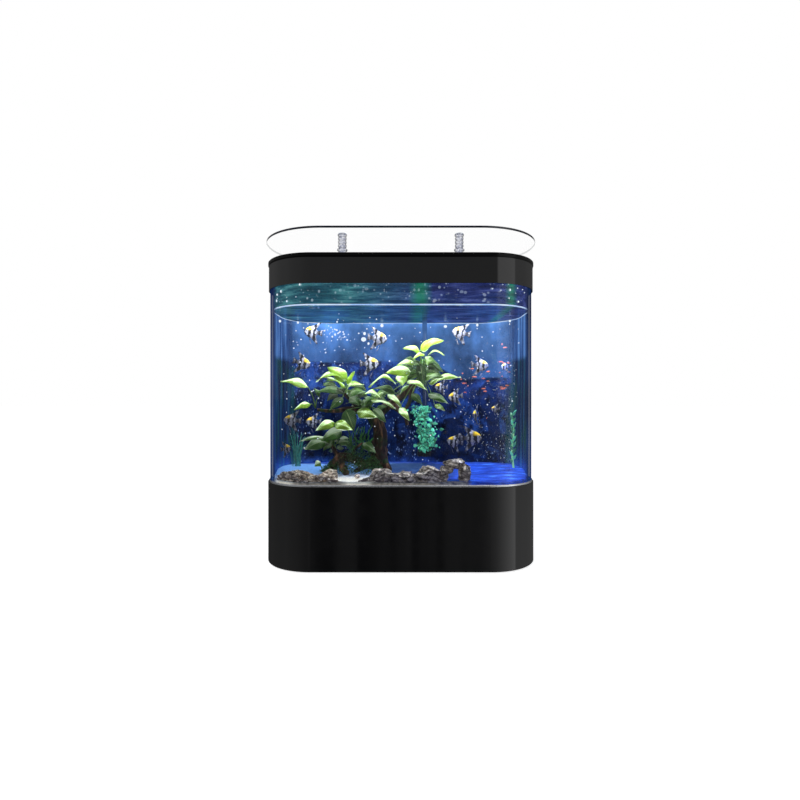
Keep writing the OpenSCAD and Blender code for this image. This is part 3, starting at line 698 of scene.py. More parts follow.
def make_bubbles(rng):
    """Loose bubbles, a cloud at the upper left, a stream on the right and large ones at the waterline, all
    glowing as painted glints. The first six large ones are painted highlights of the lamp just under the back
    waterline.
    """
    unit, faces = ball(2)
    bubbles = Collector()
    spots = []
    for _ in range(150):
        x = rng.uniform(-0.36, 0.36)
        y = rng.uniform(-0.92, 0.2) * wall_y(x, 0.01)
        spots.append((x, y, 0.29 + (WATER_Z - 0.31) * rng.random() ** 0.6, rng.uniform(0.6, 2.0)))
    for _ in range(46):
        x, z = rng.gauss(-0.195, 0.022), rng.gauss(0.675, 0.022)
        spots.append((x, rng.uniform(-0.12, -0.02), min(z, WATER_Z - 0.006), rng.uniform(0.8, 2.8)))
    for _ in range(190):
        x = rng.uniform(0.20, 0.365)
        y = rng.uniform(-0.3, 0.6) * wall_y(x, 0.01)
        spots.append((x, y, rng.uniform(0.30, 0.62), rng.uniform(0.3, 0.9)))
    # The first six are painted highlights of the lamp just under the back waterline; the last three are large
    # bubbles
    spots += [(-0.376, -0.01, 0.726, 4), (-0.345, 0.115, 0.740, 4), (-0.065, 0.165, 0.737, 6),
              (0.154, 0.165, 0.734, 5), (0.263, 0.16, 0.738, 5), (0.353, 0.055, 0.736, 4),
              (-0.115, -0.02, 0.668, 7), (-0.112, -0.02, 0.686, 5), (-0.10, -0.02, 0.655, 4)]
    for x, y, z, size in spots:
        stretch, radius = rng.uniform(0.8, 1.25), size * MM
        bubbles.add(blob((x, y, z), (radius * stretch, radius, radius), unit), faces)
    # All of them glow: painted glints
    bubbles.piece("bubbles", glowing("bubble", (0.75, 0.86, 1.0), (1, 1, 1), 1.1), "tank_glass")


def make_droplets(rng):
    """Drops on the inside of the front glass, above the water, glowing as painted glints."""
    unit, faces = ball(2)
    drops = Collector()
    for _ in range(120):
        x = rng.uniform(-0.36, 0.36)
        size = rng.choice((0.8, 1.2, 1.6, 2.2, 3.2, 4.2))
        y = -(wall_y(x) - 0.0016)
        z = rng.uniform(WATER_Z + 0.006, HOOD_BOTTOM + 0.004)
        wide = rng.uniform(0.7, 1.5)
        drops.add(blob((x, y, z), (size * MM * wide, 0.8 * MM, size * MM), unit), faces)
    # The drops glow: painted glints
    drops.piece("droplets", glowing("droplet", (0.6, 0.8, 1.0), (1, 1, 1), 1.1), "tank_glass")


# ---------- sand and rocks ----------

def make_sand():
    rows, columns = 90, 200
    verts = []
    for i in range(rows + 1):
        for j in range(columns + 1):
            x = (2 * j / columns - 1) * TANK_X
            y = (2 * i / rows - 1) * wall_y(x, 0.0003)
            swell = 0.5 + 0.5 * noise.noise(Vector((x * 7, y * 9, 0.3)))
            ripple = 0.0012 * noise.fractal(Vector((x * 60, y * 60, 5)), 1.0, 2.0, 3)
            slope = 0.014 * max(0.0, 1 - i / rows * 1.8)
            top = SAND_TOP - 0.003 + 0.005 * swell + ripple - slope
            verts.append(Vector((x, y, max(top, SAND_LOW + 0.0012))))
    faces = grid_faces(rows + 1, columns + 1)
    edge = list(range(columns + 1))
    edge += [(i + 1) * (columns + 1) - 1 for i in range(1, rows + 1)]
    edge += [rows * (columns + 1) + j for j in range(columns - 1, -1, -1)]
    edge += [i * (columns + 1) for i in range(rows - 1, 0, -1)]
    start = len(verts)
    verts += [Vector((verts[i].x, verts[i].y, SAND_LOW)) for i in edge]
    for k, i in enumerate(edge):
        after = (k + 1) % len(edge)
        faces.append((i, start + k, start + after, edge[after]))
    faces.append(tuple(start + k for k in range(len(edge))))
    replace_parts(piece("sand", verts, faces, sand()), "sand_bed")


def boulder(collector, centre, size, seed, tone, turn, level=4, layers=0.10):
    """A broken stone: a lumpy ball with flat cuts and slanting beds, held behind the front glass."""
    unit, faces = ball(level)
    spin = Matrix.Rotation(math.radians(turn), 3, "Z")
    rng = random.Random(seed)
    cuts = []
    for _ in range(12):
        facing = Vector([rng.gauss(0, 1) for _ in range(3)]).normalized()
        cuts.append((facing, rng.uniform(0.60, 0.88)))
    verts = []
    for v in unit:
        spot = Vector((v.x * 1.2, v.y * 1.2, v.z * 1.6)) + Vector((seed, seed * 0.7, -seed))
        lump = v * (1.06 + 0.36 * noise.fractal(spot, 1.0, 2.1, 2))
        for facing, reach in cuts:
            lump -= facing * max(lump.dot(facing) - reach, 0) * 0.92
        bed = v.z * 3 + v.x * 5 + noise.noise(spot * 1.2) * 3
        push = 1.08 + 0.07 * noise.fractal(spot * 3.4, 0.9, 2.1, 5) - 0.6 * layers * abs(math.sin(bed)) ** 3
        out = spin @ Vector((lump.x * size[0], lump.y * size[1], lump.z * size[2])) * push
        place = (Vector(centre) + out) * MM
        place.y = max(place.y, 0.0012 - wall_y(place.x))
        place.z = max(place.z, SAND_LOW + 0.0005)
        verts.append(place)
    collector.add(verts, faces, tone=tone)


def make_tan_stones(rng):
    """A heap of pebbles at the left and larger stones beside it."""
    tan = Collector()
    for _ in range(260):
        angle, reach = rng.uniform(0, 2 * math.pi), math.sqrt(rng.random())
        x, y = -298 + 58 * reach * math.cos(angle), -138 + 38 * reach * math.sin(angle)
        y = max(y, -1000 * wall_y(x * MM, 0.008))
        z = 250 + 24 * (1 - reach ** 2) + rng.uniform(-2, 3)
        size = rng.uniform(3.5, 9)
        flat = (size * rng.uniform(0.9, 1.6), size, size * rng.uniform(0.6, 0.9))
        boulder(tan, (x, y, z), flat, rng.uniform(0, 90), rng.uniform(0.4, 1.4), rng.uniform(0, 180), 2, 0.02)
    boulder(tan, (-212, -150, 256), (37, 28, 24), 4.2, 1.0, 12, 5)
    boulder(tan, (-206, -164, 250), (32, 16, 17), 5.6, 1.1, 0, 5)
    boulder(tan, (-245, -150, 252), (22, 24, 19), 7.9, 0.9, 50)
    tan_stone = rock("tan_stone", (0.035, 0.022, 0.013), (0.3, 0.22, 0.15), (0.86, 0.74, 0.58), 100.0)
    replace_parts(tan.piece("tan_stones", tan_stone, "rock_tan"), "rocks_left")


def make_grey_stones(rng, grey_stone):
    """The grey ridge along the front glass, with chips at its foot and one white pebble beside it."""
    grey = Collector()
    stones = [
        ((-56, -150, 261), (42, 28, 28), 1.3, 1.1, -14), ((-92, -160, 251), (26, 18, 16), 6.4, 1.0, 30),
        ((-44, -164, 252), (34, 16, 20), 9.1, 0.9, 20), ((10, -154, 258), (32, 24, 23), 12.2, 1.0, -10),
        ((30, -165, 250), (34, 14, 18), 15.8, 0.85, 12), ((84, -150, 264), (36, 26, 30), 18.5, 1.1, -22),
        ((92, -165, 252), (34, 14, 20), 22.5, 0.9, 5), ((-10, -132, 258), (36, 20, 18), 24.5, 0.7, 5),
        ((50, -158, 256), (22, 18, 20), 41.3, 1.0, 0), ((-14, -160, 256), (20, 18, 17), 43.7, 1.0, 15),
    ]
    for centre, size, seed, tone, turn in stones:
        boulder(grey, centre, size, seed, tone, turn, 5, 0.13)
    for _ in range(34):
        size = rng.uniform(2.5, 5)
        spot = (rng.uniform(-140, 196), rng.uniform(-172, -168), 249)
        boulder(grey, spot, (size * 1.5, size * 0.8, size * 0.8), rng.uniform(0, 90), rng.uniform(0.7, 1.4),
                rng.uniform(0, 180), 2, 0.02)
    boulder(grey, (-124, -140, 262), (8, 7, 6), 33.0, 4.0, 0, 3, 0.0)
    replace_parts(grey.piece("grey_stones", grey_stone, "rock_grey"), "rocks_centre")


def make_arch(grey_stone):
    """The stone arch at the right end of the ridge: a lintel, its shoulder and two legs."""
    arch = Collector()
    boulder(arch, (154, -146, 301), (33, 20, 14), 27.0, 1.15, 8, 5, 0.11)
    boulder(arch, (133, -148, 286), (16, 16, 16), 29.0, 1.0, 20, 5, 0.11)
    boulder(arch, (181, -154, 272), (17, 20, 36), 31.0, 1.1, 0, 5, 0.11)
    boulder(arch, (121, -154, 262), (15, 20, 28), 35.0, 0.95, 0, 5, 0.11)
    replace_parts(arch.piece("arch_stone", grey_stone, "rock_grey"), "rock_arch")


def make_rocks():
    rng = random.Random(3)
    make_tan_stones(rng)
    grey_stone = rock("grey_stone", (0.022, 0.017, 0.014), (0.20, 0.16, 0.13), (0.70, 0.60, 0.50), 62.0)
    make_grey_stones(rng, grey_stone)
    make_arch(grey_stone)


# ---------- driftwood and plants ----------

def make_driftwood():
    wood = Collector()
    limbs = [
        ([(-66, 0, 258), (-70, 2, 320), (-64, 0, 370), (-76, -4, 420), (-84, -4, 452)], (26, 15)),
        ([(-80, -2, 400), (-104, -6, 440), (-140, -10, 470), (-178, -14, 505)], (14, 6)),
        ([(-84, 0, 430), (-40, 6, 462), (10, 10, 500), (52, 6, 540), (70, 0, 575)], (15, 7)),
        ([(-120, -8, 452), (-165, -16, 452), (-210, -22, 446), (-258, -24, 450)], (9, 4)),
        ([(-56, 0, 286), (-44, -12, 274), (-34, -22, 262)], (15, 9)),
        ([(-72, -4, 300), (-108, -24, 280), (-140, -44, 262)], (17, 7)),
        ([(-78, 4, 300), (-96, 34, 284), (-116, 62, 262)], (14, 6)),
        ([(-112, -26, 284), (-150, -44, 304), (-186, -50, 306), (-216, -62, 262)], (13, 12)),
        ([(-186, -48, 304), (-176, -72, 286), (-160, -90, 260)], (12, 8)),
        ([(-190, -46, 306), (-208, -44, 338), (-226, -50, 362)], (8, 3)),
        ([(-36, 4, 468), (-8, -8, 452), (14, -12, 430), (20, -14, 402)], (11, 4)),
        ([(34, 6, 520), (30, -4, 482), (12, -10, 448)], (8, 4)),
        ([(-150, -44, 300), (-140, -60, 330), (-116, -66, 352)], (6, 2)),
    ]
    for k, (points, (thick, thin)) in enumerate(limbs):
        path = smooth_path([Vector(p) * MM for p in points], 12)
        wood.add(*tube(path, lambda t: (thick + (thin - thick) * t) * MM, 26, 0.24, k * 3.1))
    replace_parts(wood.piece("driftwood_root", bark(), "driftwood"), "driftwood")


def leaf(collector, base, tip, width, tilt, arch, tone, seed, rows=15, columns=9):
    """A broad pointed leaf from base to tip, in millimetres. tilt 0 lies flat and 1 faces the front."""
    base, tip = Vector(base), Vector(tip)
    along = tip - base
    length = along.length
    ahead = along.normalized()
    face = Vector((0, -tilt, 1 - 0.75 * tilt)).normalized()
    normal = (face - ahead * face.dot(ahead)).normalized()
    across = ahead.cross(normal)
    rng = random.Random(seed)
    phase, wobble = rng.uniform(0, 6), rng.uniform(0.02, 0.05)
    verts, uvs = [], []
    for i in range(rows):
        t = i / (rows - 1)
        half = 0.5 * width * (math.sin(math.pi * t ** 0.70) ** 0.92 * (1 - 0.22 * t) + 0.010)
        spine = base + ahead * length * t + normal * length * arch * math.sin(math.pi * min(t * 1.05, 1)) \
            - Vector((0, 0, 1)) * length * 0.10 * t * t
        for j in range(columns):
            u = 2 * j / (columns - 1) - 1
            fold = 0.25 * abs(u) ** 1.3 * half
            rise = wobble * length * abs(u) * math.sin(9 * t + phase + 1.5 * u) - fold
            verts.append((spine + across * half * u + normal * rise) * MM)
            uvs.append((0.5 + 0.5 * u, t))
    collector.add(verts, grid_faces(rows, columns), uvs, tone)


def stalk(collector, start, end, bow):
    start, end = Vector(start), Vector(end)
    middle = (start + end) / 2 + Vector(bow)
    path = smooth_path([p * MM for p in (start, middle, end)], 7)
    collector.add(*tube(path, lambda t: 1.5 * (1.15 - 0.4 * t) * MM, 7))


# Where the broad leaves grow from the wood, and each leaf's base, tip, width, tilt, arch and tone
LEFT_ROOT, MID_ROOT, RIGHT_ROOT, LOW_ROOT = (-178, -14, 503), (-95, -10, 455), (62, 2, 562), (-205, -40, 330)
BROAD_LEAVES = [
    (LEFT_ROOT, [
        ((-168, -24, 540), (-224, -40, 588), 46, 0.75, 0.16, 0.95),
        ((-176, -28, 545), (-258, -46, 546), 30, 0.35, 0.26, 0.85),
        ((-172, -34, 520), (-230, -50, 556), 26, 0.30, 0.10, 0.80),
        ((-166, -22, 528), (-142, -34, 574), 22, 0.55, 0.05, 1.05),
        ((-172, -38, 502), (-258, -66, 512), 34, 0.60, 0.16, 0.35),
        ((-168, -30, 506), (-112, -48, 534), 28, 0.45, 0.30, 0.80),
        ((-160, -40, 494), (-106, -66, 512), 34, 0.65, 0.18, 0.55),
        ((-176, -50, 488), (-214, -74, 454), 30, 0.85, 0.10, 0.22),
        ((-156, -40, 488), (-124, -70, 470), 30, 0.75, 0.12, 0.35),
    ]),
    ((-262, -26, 455), [
        ((-282, -46, 520), (-362, -64, 545), 36, 0.55, 0.14, 0.90),
        ((-274, -52, 468), (-320, -70, 456), 24, 0.70, 0.14, 0.95),
        ((-246, -46, 492), (-262, -60, 520), 16, 0.60, 0.10, 0.55),
    ]),
    (MID_ROOT, [
        ((-132, -56, 444), (-70, -84, 436), 40, 0.85, 0.14, 0.80),
        ((-84, -50, 452), (-44, -76, 420), 32, 0.85, 0.10, 0.35),
        ((-166, -56, 450), (-138, -84, 396), 50, 0.95, 0.08, 0.15),
        ((-110, -30, 500), (-60, -46, 492), 22, 0.45, 0.30, 0.90),
        ((-92, -30, 478), (-14, -52, 462), 20, 0.45, 0.14, 0.75),
        ((-80, -28, 490), (-52, -40, 506), 26, 0.60, 0.10, 0.70),
    ]),
    (LOW_ROOT, [
        ((-200, -64, 412), (-252, -92, 396), 34, 0.90, 0.18, 0.85),
        ((-198, -64, 410), (-142, -92, 398), 36, 0.90, 0.16, 0.95),
        ((-178, -60, 386), (-236, -88, 366), 44, 0.90, 0.16, 0.45),
        ((-226, -62, 356), (-288, -84, 340), 42, 0.90, 0.16, 0.40),
        ((-204, -66, 352), (-302, -80, 368), 18, 0.60, 0.20, 0.60),
    ]),
    ((-110, -34, 330), [
        ((-112, -60, 352), (-74, -84, 328), 30, 0.90, 0.10, 0.35),
    ]),
    ((-236, -60, 270), [
        ((-240, -76, 296), (-256, -84, 286), 22, 0.90, 0.10, 0.60),
    ]),
    (RIGHT_ROOT, [
        ((62, -16, 634), (132, -34, 672), 36, 0.70, 0.22, 1.10),
        ((60, -22, 626), (6, -44, 644), 32, 0.60, 0.20, 0.95),
        ((72, -26, 622), (36, -52, 608), 20, 0.55, 0.16, 0.95),
        ((84, -20, 618), (134, -44, 622), 20, 0.40, 0.30, 0.85),
        ((90, -24, 616), (80, -56, 588), 28, 0.85, 0.14, 0.65),
        ((48, -30, 592), (-12, -56, 592), 30, 0.60, 0.20, 0.85),
        ((30, -34, 566), (-46, -60, 570), 42, 0.80, 0.14, 0.95),
        ((0, -40, 560), (6, -74, 528), 40, 0.95, 0.10, 0.90),
        ((-16, -30, 532), (-98, -56, 528), 26, 0.40, 0.34, 0.85),
        ((20, -36, 536), (78, -62, 518), 24, 0.60, 0.20, 0.90),
        ((88, -30, 530), (182, -52, 560), 28, 0.60, 0.16, 0.85),
        ((62, -34, 546), (130, -60, 558), 30, 0.75, 0.12, 0.60),
        ((58, -26, 594), (70, -58, 530), 34, 0.95, 0.04, 0.05),
        ((84, -34, 498), (144, -62, 476), 30, 0.80, 0.12, 0.45),
        ((104, -36, 466), (134, -54, 452), 18, 0.80, 0.12, 0.80),
        ((-14, -20, 500), (-88, -46, 524), 26, 0.70, 0.20, 0.20),
        ((24, -34, 526), (-4, -52, 500), 14, 0.50, 0.12, 0.60),
        ((40, 20, 560), (20, 56, 540), 40, 0.50, 0.16, 0.30),
        ((70, 26, 580), (112, 66, 572), 40, 0.50, 0.16, 0.40),
        ((-4, -44, 456), (26, -72, 424), 26, 0.85, 0.12, 0.85),
        ((-40, -36, 498), (4, -58, 462), 22, 0.60, 0.16, 0.80),
        ((34, -30, 500), (66, -50, 470), 26, 0.80, 0.12, 0.30),
    ]),
]


def make_broad_leaves():
    blades, stalks = Collector(), Collector()
    grown = [(root, shape) for root, shapes in BROAD_LEAVES for shape in shapes]
    for k, (root, shape) in enumerate(grown):
        leaf(blades, *shape, k)
        stalk(stalks, root, shape[0], (4 * math.sin(k), 0, 6))
    rng = random.Random(11)
    crowns = ((LEFT_ROOT, 20, 56), (MID_ROOT, 20, 54), (RIGHT_ROOT, 26, 62), (LOW_ROOT, 14, 44))
    for root, count, reach in crowns:
        for k in range(count):
            angle = rng.uniform(0, 2 * math.pi)
            out = Vector((math.cos(angle), 0.9 * math.sin(angle), 0))
            base = Vector(root) + out * reach * rng.uniform(0.25, 0.5) + Vector((0, 0, rng.uniform(-8, 44)))
            tip = base + out * reach * rng.uniform(0.6, 1.0) + Vector((0, 0, rng.uniform(-22, 18)))
            width, tilt, tone = rng.uniform(20, 32), rng.uniform(0.3, 0.8), rng.uniform(0.05, 0.4)
            leaf(blades, base, tip, width, tilt, 0.16, tone, k + 90)
            stalk(stalks, root, base, (0, 0, 4))
    # shine gives these leaves a painted highlight
    skin = leaf_skin("broad_leaf", (0.003, 0.016, 0.004), (0.03, 0.13, 0.01), (0.42, 0.66, 0.03), shine=1.1)
    made = blades.piece("broad_leaves", skin, "leaf")
    thicken(made, 0.0005)
    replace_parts(made, "plants")
    stalks.piece("leaf_stalks", surface("stalk", (0.05, 0.12, 0.02), (0.20, 0.34, 0.06), 60.0), "leaf")


def blade(collector, root, tip, width, sag, tone, steps=9):
    """A narrow ribbon leaf that bends over towards its tip."""
    root, tip = Vector(root), Vector(tip)
    verts, uvs = [], []
    for i in range(steps):
        t = i / (steps - 1)
        point = root.lerp(tip, t) + Vector((0, 0, 4 * sag * t * (1 - t)))
        half = 0.5 * width * math.sin(math.pi * (0.12 + 0.86 * t)) + 0.1
        out = Vector((half, -half * 0.4, 0))
        verts += [(point + out) * MM, (point - out) * MM]
        uvs += [(0.3, t), (0.7, t)]
    collector.add(verts, grid_faces(steps, 2), uvs, tone)


def make_teal_grass(rng):
    grass = Collector()
    for _ in range(30):
        lean = rng.gauss(0, 20)
        tip = (-338 + lean, 62 + rng.uniform(-16, 16), 372 + rng.uniform(-46, 14) - abs(lean) * 0.6)
        foot = (-338 + rng.gauss(0, 5), 62 + rng.uniform(-5, 5), 262)
        blade(grass, foot, tip, 2.2, 12 + abs(lean) * 0.5, rng.uniform(0.1, 0.9))
    teal = leaf_skin("teal_blade", (0.0, 0.05, 0.06), (0.01, 0.20, 0.19), (0.06, 0.50, 0.44), 0.15)
    thicken(grass.piece("teal_grass", teal, "leaf"), 0.0004)


def make_moss(rng):
    """A mound of fine moss round the foot of the root, with longer blades over it."""
    moss = Collector()
    for _ in range(2600):
        angle, reach = rng.uniform(0, 2 * math.pi), rng.random() ** 0.5
        x, y = -146 + 96 * reach * math.cos(angle), -44 + 50 * reach * math.sin(angle)
        height = 262 + (100 if x > -160 else 66) * (1 - reach ** 2) * rng.uniform(0.2, 1.0)
        size = rng.uniform(5, 12)
        tip = (x + rng.uniform(-1, 1) * size, y - rng.uniform(0.2, 1.0) * size,
               height + rng.uniform(-0.5, 1.0) * size)
        blade(moss, (x, y, height), tip, rng.uniform(1.4, 2.6), 1.0, rng.uniform(0.0, 0.75), 4)
    for _ in range(70):
        x, z = rng.uniform(-155, -95), rng.uniform(330, 392)
        lean = rng.uniform(-18, 18)
        tip = (x + lean, -60 - rng.uniform(0, 14), z + rng.uniform(0, 20))
        blade(moss, (x, -46, z - 14), tip, 2.6, 5, rng.uniform(0.4, 1.0), 6)
    dark = leaf_skin("moss_leaf", (0.004, 0.022, 0.005), (0.02, 0.10, 0.015), (0.10, 0.42, 0.10), 0.05)
    thicken(moss.piece("moss", dark, "leaf"), 0.0004)


def make_teal_bush(rng, look):
    bush = Collector()
    for k in range(480):
        t = rng.random()
        x = 76 + 34 * math.sin(t * 5) * 0.4 + rng.gauss(0, 15)
        y, z = 66 + rng.gauss(0, 14), 316 + 146 * t
        size = rng.choice((5, 6, 7, 9, 16))
        turn = rng.uniform(0, 2 * math.pi)
        tip = (x + size * math.cos(turn), y - 4, z + size * math.sin(turn) * 0.8)
        leaf(bush, (x, y, z), tip, size * 0.75, 0.9, 0.2, rng.uniform(0.1, 1.3), k, 8, 5)
    thicken(bush.piece("teal_bush", look, "leaf"), 0.0004)


def make_stem_plant(rng, look):
    stem = Collector()
    bends = [(360, 30, 258), (355, 32, 320), (360, 30, 380), (352, 34, 440)]
    path = smooth_path([Vector(p) * MM for p in bends], 8)
    stem.add(*tube(path, lambda t: 0.0026 * (1.2 - 0.7 * t), 8))
    for k in range(16):
        z = 280 + k * 10
        side = 1 if k % 2 else -1
        tip = (357 + side * rng.uniform(6, 12), 24, z + rng.uniform(16, 26))
        leaf(stem, (357, 31, z), tip, 9, 0.9, 0.1, rng.uniform(0.4, 1.0), k)
    thicken(stem.piece("stem_plant", look, "leaf"), 0.0004)


def make_small_plants():
    rng = random.Random(5)
    make_teal_grass(rng)
    make_moss(rng)
    # The bush leaves carry a strong painted glow
    glow = leaf_skin("bush_leaf", (0.0, 0.05, 0.06), (0.008, 0.22, 0.13), (0.16, 0.80, 0.56), 0.28)
    make_teal_bush(rng, glow)
    make_stem_plant(rng, glow)


# ---------- fish ----------

def fish_mesh():
    """An angelfish one unit long from nose to tail root, nose towards +X: body, eyes and long fins."""
    parts = Collector()
    rows, sides = 22, 20
    verts, uvs = [], []
    for i in range(rows):
        t = i / (rows - 1)
        x = 0.5 - t
        half = 0.40 * math.sin(math.pi * (0.03 + 0.90 * t)) ** 0.86 + 0.02
        thick = 0.085 * math.sin(math.pi * (0.03 + 0.92 * t)) ** 0.7 + 0.008
        for k in range(sides):
            a = 2 * math.pi * k / sides
            z = half * math.sin(a) - 0.02
            verts.append(Vector((x, thick * math.cos(a), z)))
            uvs.append((0.5 + x / 1.8, 0.5 + z / 1.8))
    faces = grid_faces(rows, sides, closed=True)
    faces += [tuple(range(sides)), tuple(reversed(range(len(verts) - sides, len(verts))))]
    parts.add(verts, faces, uvs)

    def fin(front, back, sweep, droop):
        """A sheet whose foot runs along the body from front to back and whose tip trails behind."""
        rays, steps = 7, 10
        vs, us = [], []
        for i in range(rays):
            s = i / (rays - 1)
            for k in range(steps):
                t = k / (steps - 1)
                foot = Vector(front).lerp(Vector(back), t)
                tip = Vector(sweep) + Vector(droop) * (1 - t)
                out = foot.lerp(tip, s ** 1.15)
                out.y += 0.012 * math.sin(6 * s + 3 * t) * s
                vs.append(out)
                us.append((0.5 + out.x / 1.8, 0.5 + out.z / 1.8))
        parts.add(vs, grid_faces(rays, steps), us)

    fin((0.12, 0, 0.34), (-0.34, 0, 0.16), (-0.66, 0, 0.74), (0.10, 0, 0.02))
    fin((0.06, 0, -0.36), (-0.34, 0, -0.20), (-0.62, 0, -0.84), (0.10, 0, -0.02))
    fin((-0.44, 0, 0.07), (-0.44, 0, -0.10), (-0.86, 0, -0.24), (0.0, 0, 0.50))
    fin((0.16, 0.02, -0.34), (0.12, 0.02, -0.35), (-0.16, 0.05, -0.92), (0.02, 0, 0))
    fin((0.16, -0.02, -0.34), (0.12, -0.02, -0.35), (-0.10, -0.05, -0.88), (0.02, 0, 0))
    fin((0.14, 0.08, 0.0), (0.13, 0.08, -0.08), (-0.06, 0.15, -0.10), (0.0, 0, 0.08))
    fin((0.14, -0.08, 0.0), (0.13, -0.08, -0.08), (-0.06, -0.15, -0.10), (0.0, 0, 0.08))
    return parts


# Name, place in mm, body length in mm, heading (0 faces right, 180 left), pitch, skin
SHOAL = [
    ("fish_01", (-281, 0, 694), 42, 180, 8, 1), ("fish_02", (-64, -40, 669), 44, 0, -6, 0),
    ("fish_03", (180, -20, 690), 42, 180, 12, 0), ("fish_04", (-307, 20, 596), 42, 0, -16, 1),
    ("fish_05", (-92, 40, 597), 46, 0, 0, 1), ("fish_06", (256, 10, 590), 40, 0, -4, 0),
    ("fish_07", (335, 50, 588), 24, 150, 0, 1), ("fish_08", (-340, -30, 419), 40, 180, 4, 0),
    ("fish_09", (-290, 60, 410), 38, 205, 0, 1), ("fish_10", (-356, 0, 328), 32, -30, 8, 1),
    ("fish_11", (126, 70, 522), 32, 180, 0, 1), ("fish_12", (171, 60, 490), 36, 165, -8, 1),
    ("fish_13", (238, 40, 432), 38, 240, 0, 1), ("fish_14", (168, 50, 347), 40, 160, 6, 1),
    ("fish_15", (226, -20, 364), 50, -8, 2, 1), ("fish_16", (296, 20, 452), 22, 190, 0, 1),
]


def make_fish():
    skins = [fish_skin("pale_fish", 0.3, 0.9), fish_skin("barred_fish", 1.0, 1.0)]
    eye = surface("fish_eye", (0.005, 0.005, 0.006), (0.02, 0.02, 0.02), 300.0, rough=(0.05, 0.1))
    unit, faces = ball(2)
    for name, place, length, heading, pitch, skin in SHOAL:
        parts = fish_mesh()
        body_faces = len(parts.faces)
        for side in (-1, 1):
            parts.add(blob((0.33, side * 0.055, 0.05), (0.035, 0.035, 0.035), unit), faces)
        turn = Matrix.Rotation(math.radians(heading), 4, "Z")
        turn = turn @ Matrix.Rotation(math.radians(-pitch), 4, "Y")
        where = Matrix.Translation(Vector(place) * MM) @ turn @ Matrix.Scale(length * MM, 4)
        parts.verts = [where @ v for v in parts.verts]
        made = parts.piece(name, skins[skin], "sand")
        made.data.materials.append(eye)
        for polygon in list(made.data.polygons)[body_faces:]:
            polygon.material_index = 1
        thicken(made, 0.0003)


def make_red_fish():
    rng = random.Random(21)
    school = Collector()
    unit, faces = ball(2)
    for _ in range(26):
        x, y, z = rng.uniform(190, 350), rng.uniform(-40, 90), rng.gauss(560, 45)
        turn = Matrix.Rotation(rng.uniform(0, 2 * math.pi), 3, "Z")
        size = rng.uniform(0.8, 1.2)
        verts = []
        for v in unit:
            shape = Vector((v.x * 5.5, v.y * 1.0 * (1 - 0.4 * v.x), v.z * 1.7 * (1 - 0.3 * v.x)))
            verts.append((Vector((x, y, z)) + turn @ shape * size) * MM)
        school.add(verts, faces)
        tail = [(-4.6, 0, 0), (-8.4, 0.2, 2.3), (-7.2, 0, 0), (-8.4, -0.2, -2.3)]
        tail = [(Vector((x, y, z)) + turn @ Vector(p) * size) * MM for p in tail]
        school.add(tail, [(0, 1, 2), (0, 2, 3)])
    skin = surface("red_fish_skin", (0.55, 0.05, 0.02), (0.95, 0.25, 0.08), 300.0, rough=(0.25, 0.4))
    thicken(school.piece("red_fish", skin, "sand"), 0.0003)


# ---------- crystal pillars ----------

def make_pillar(node):
    """Cut crystal baluster in the space of the CAD pillar: each ring of facets is set half a facet on."""
    low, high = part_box(node)
    centre, height = (low + high) / 2, high.z - low.z
    profile = [
        (0.0, 14.6), (0.06, 14.6), (0.10, 10.6), (0.22, 10.6), (0.26, 14.6), (0.32, 14.6), (0.37, 9.4),
        (0.42, 11.6), (0.47, 12.6), (0.52, 11.4), (0.55, 9.0), (0.58, 11.4), (0.63, 12.6), (0.68, 11.4),
        (0.71, 9.0), (0.74, 11.4), (0.79, 12.6), (0.84, 11.2), (0.87, 9.2), (0.91, 13.2), (0.97, 13.2),
        (1.0, 10.6),
    ]
    facets = 12
    verts = []
    for i, (t, radius) in enumerate(profile):
        for k in range(facets):
            a = 2 * math.pi * (k + 0.5 * (i % 2)) / facets
            verts.append(Vector((centre.x + radius * MM * math.cos(a), centre.y + radius * MM * math.sin(a),
                                 low.z + height * t)))
    faces = []
    for i in range(len(profile) - 1):
        for k in range(facets):
            a, b = i * facets + k, i * facets + (k + 1) % facets
            c, d = a + facets, b + facets
            if i % 2 == 0:
                faces += [(a, b, c), (b, d, c)]
            else:
                faces += [(a, b, d), (a, d, c)]
    faces += caps(facets, len(verts))
    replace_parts(piece(node + "_crystal", verts, faces, CRYSTAL, smooth=False), node)


def make_pillars():
    for row in ("front", "rear"):
        for side in ("left", "right"):
            make_pillar(f"pillar_{row}_{side}")


# ---------- filter sponge ----------

def make_sponge():
    low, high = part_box("filter_sponge")
    size = high - low
    counts = (60, 40, 10)
    verts, index = [], {}

    def corner(i, j, k):
        key = (i, j, k)
        if key not in index:
            p = low + Vector([size[a] * key[a] / counts[a] for a in range(3)])
            middle = (low + high) / 2
            pore = noise.noise(p * 900) * 0.0009 - 0.0009
            index[key] = len(verts)
            verts.append(p + (p - middle).normalized() * pore)
        return index[key]

    faces = []
    for axis in range(3):
        u, v = [a for a in range(3) if a != axis]
        for end in (0, counts[axis]):
            for a in range(counts[u]):
                for b in range(counts[v]):
                    quad = []
                    for da, db in ((0, 0), (1, 0), (1, 1), (0, 1)):
                        spot = [0, 0, 0]
                        spot[axis], spot[u], spot[v] = end, a + da, b + db
                        quad.append(corner(*spot))
                    faces.append(tuple(quad))
    made = piece("sponge_block", verts, faces, foam())
    bevel = made.modifiers.new("bevel", "BEVEL")
    bevel.width = 0.0008
    bevel.segments = 1
    bevel.limit_method = "ANGLE"
    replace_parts(made, "filter_sponge")


# ---------- CAD nodes ----------

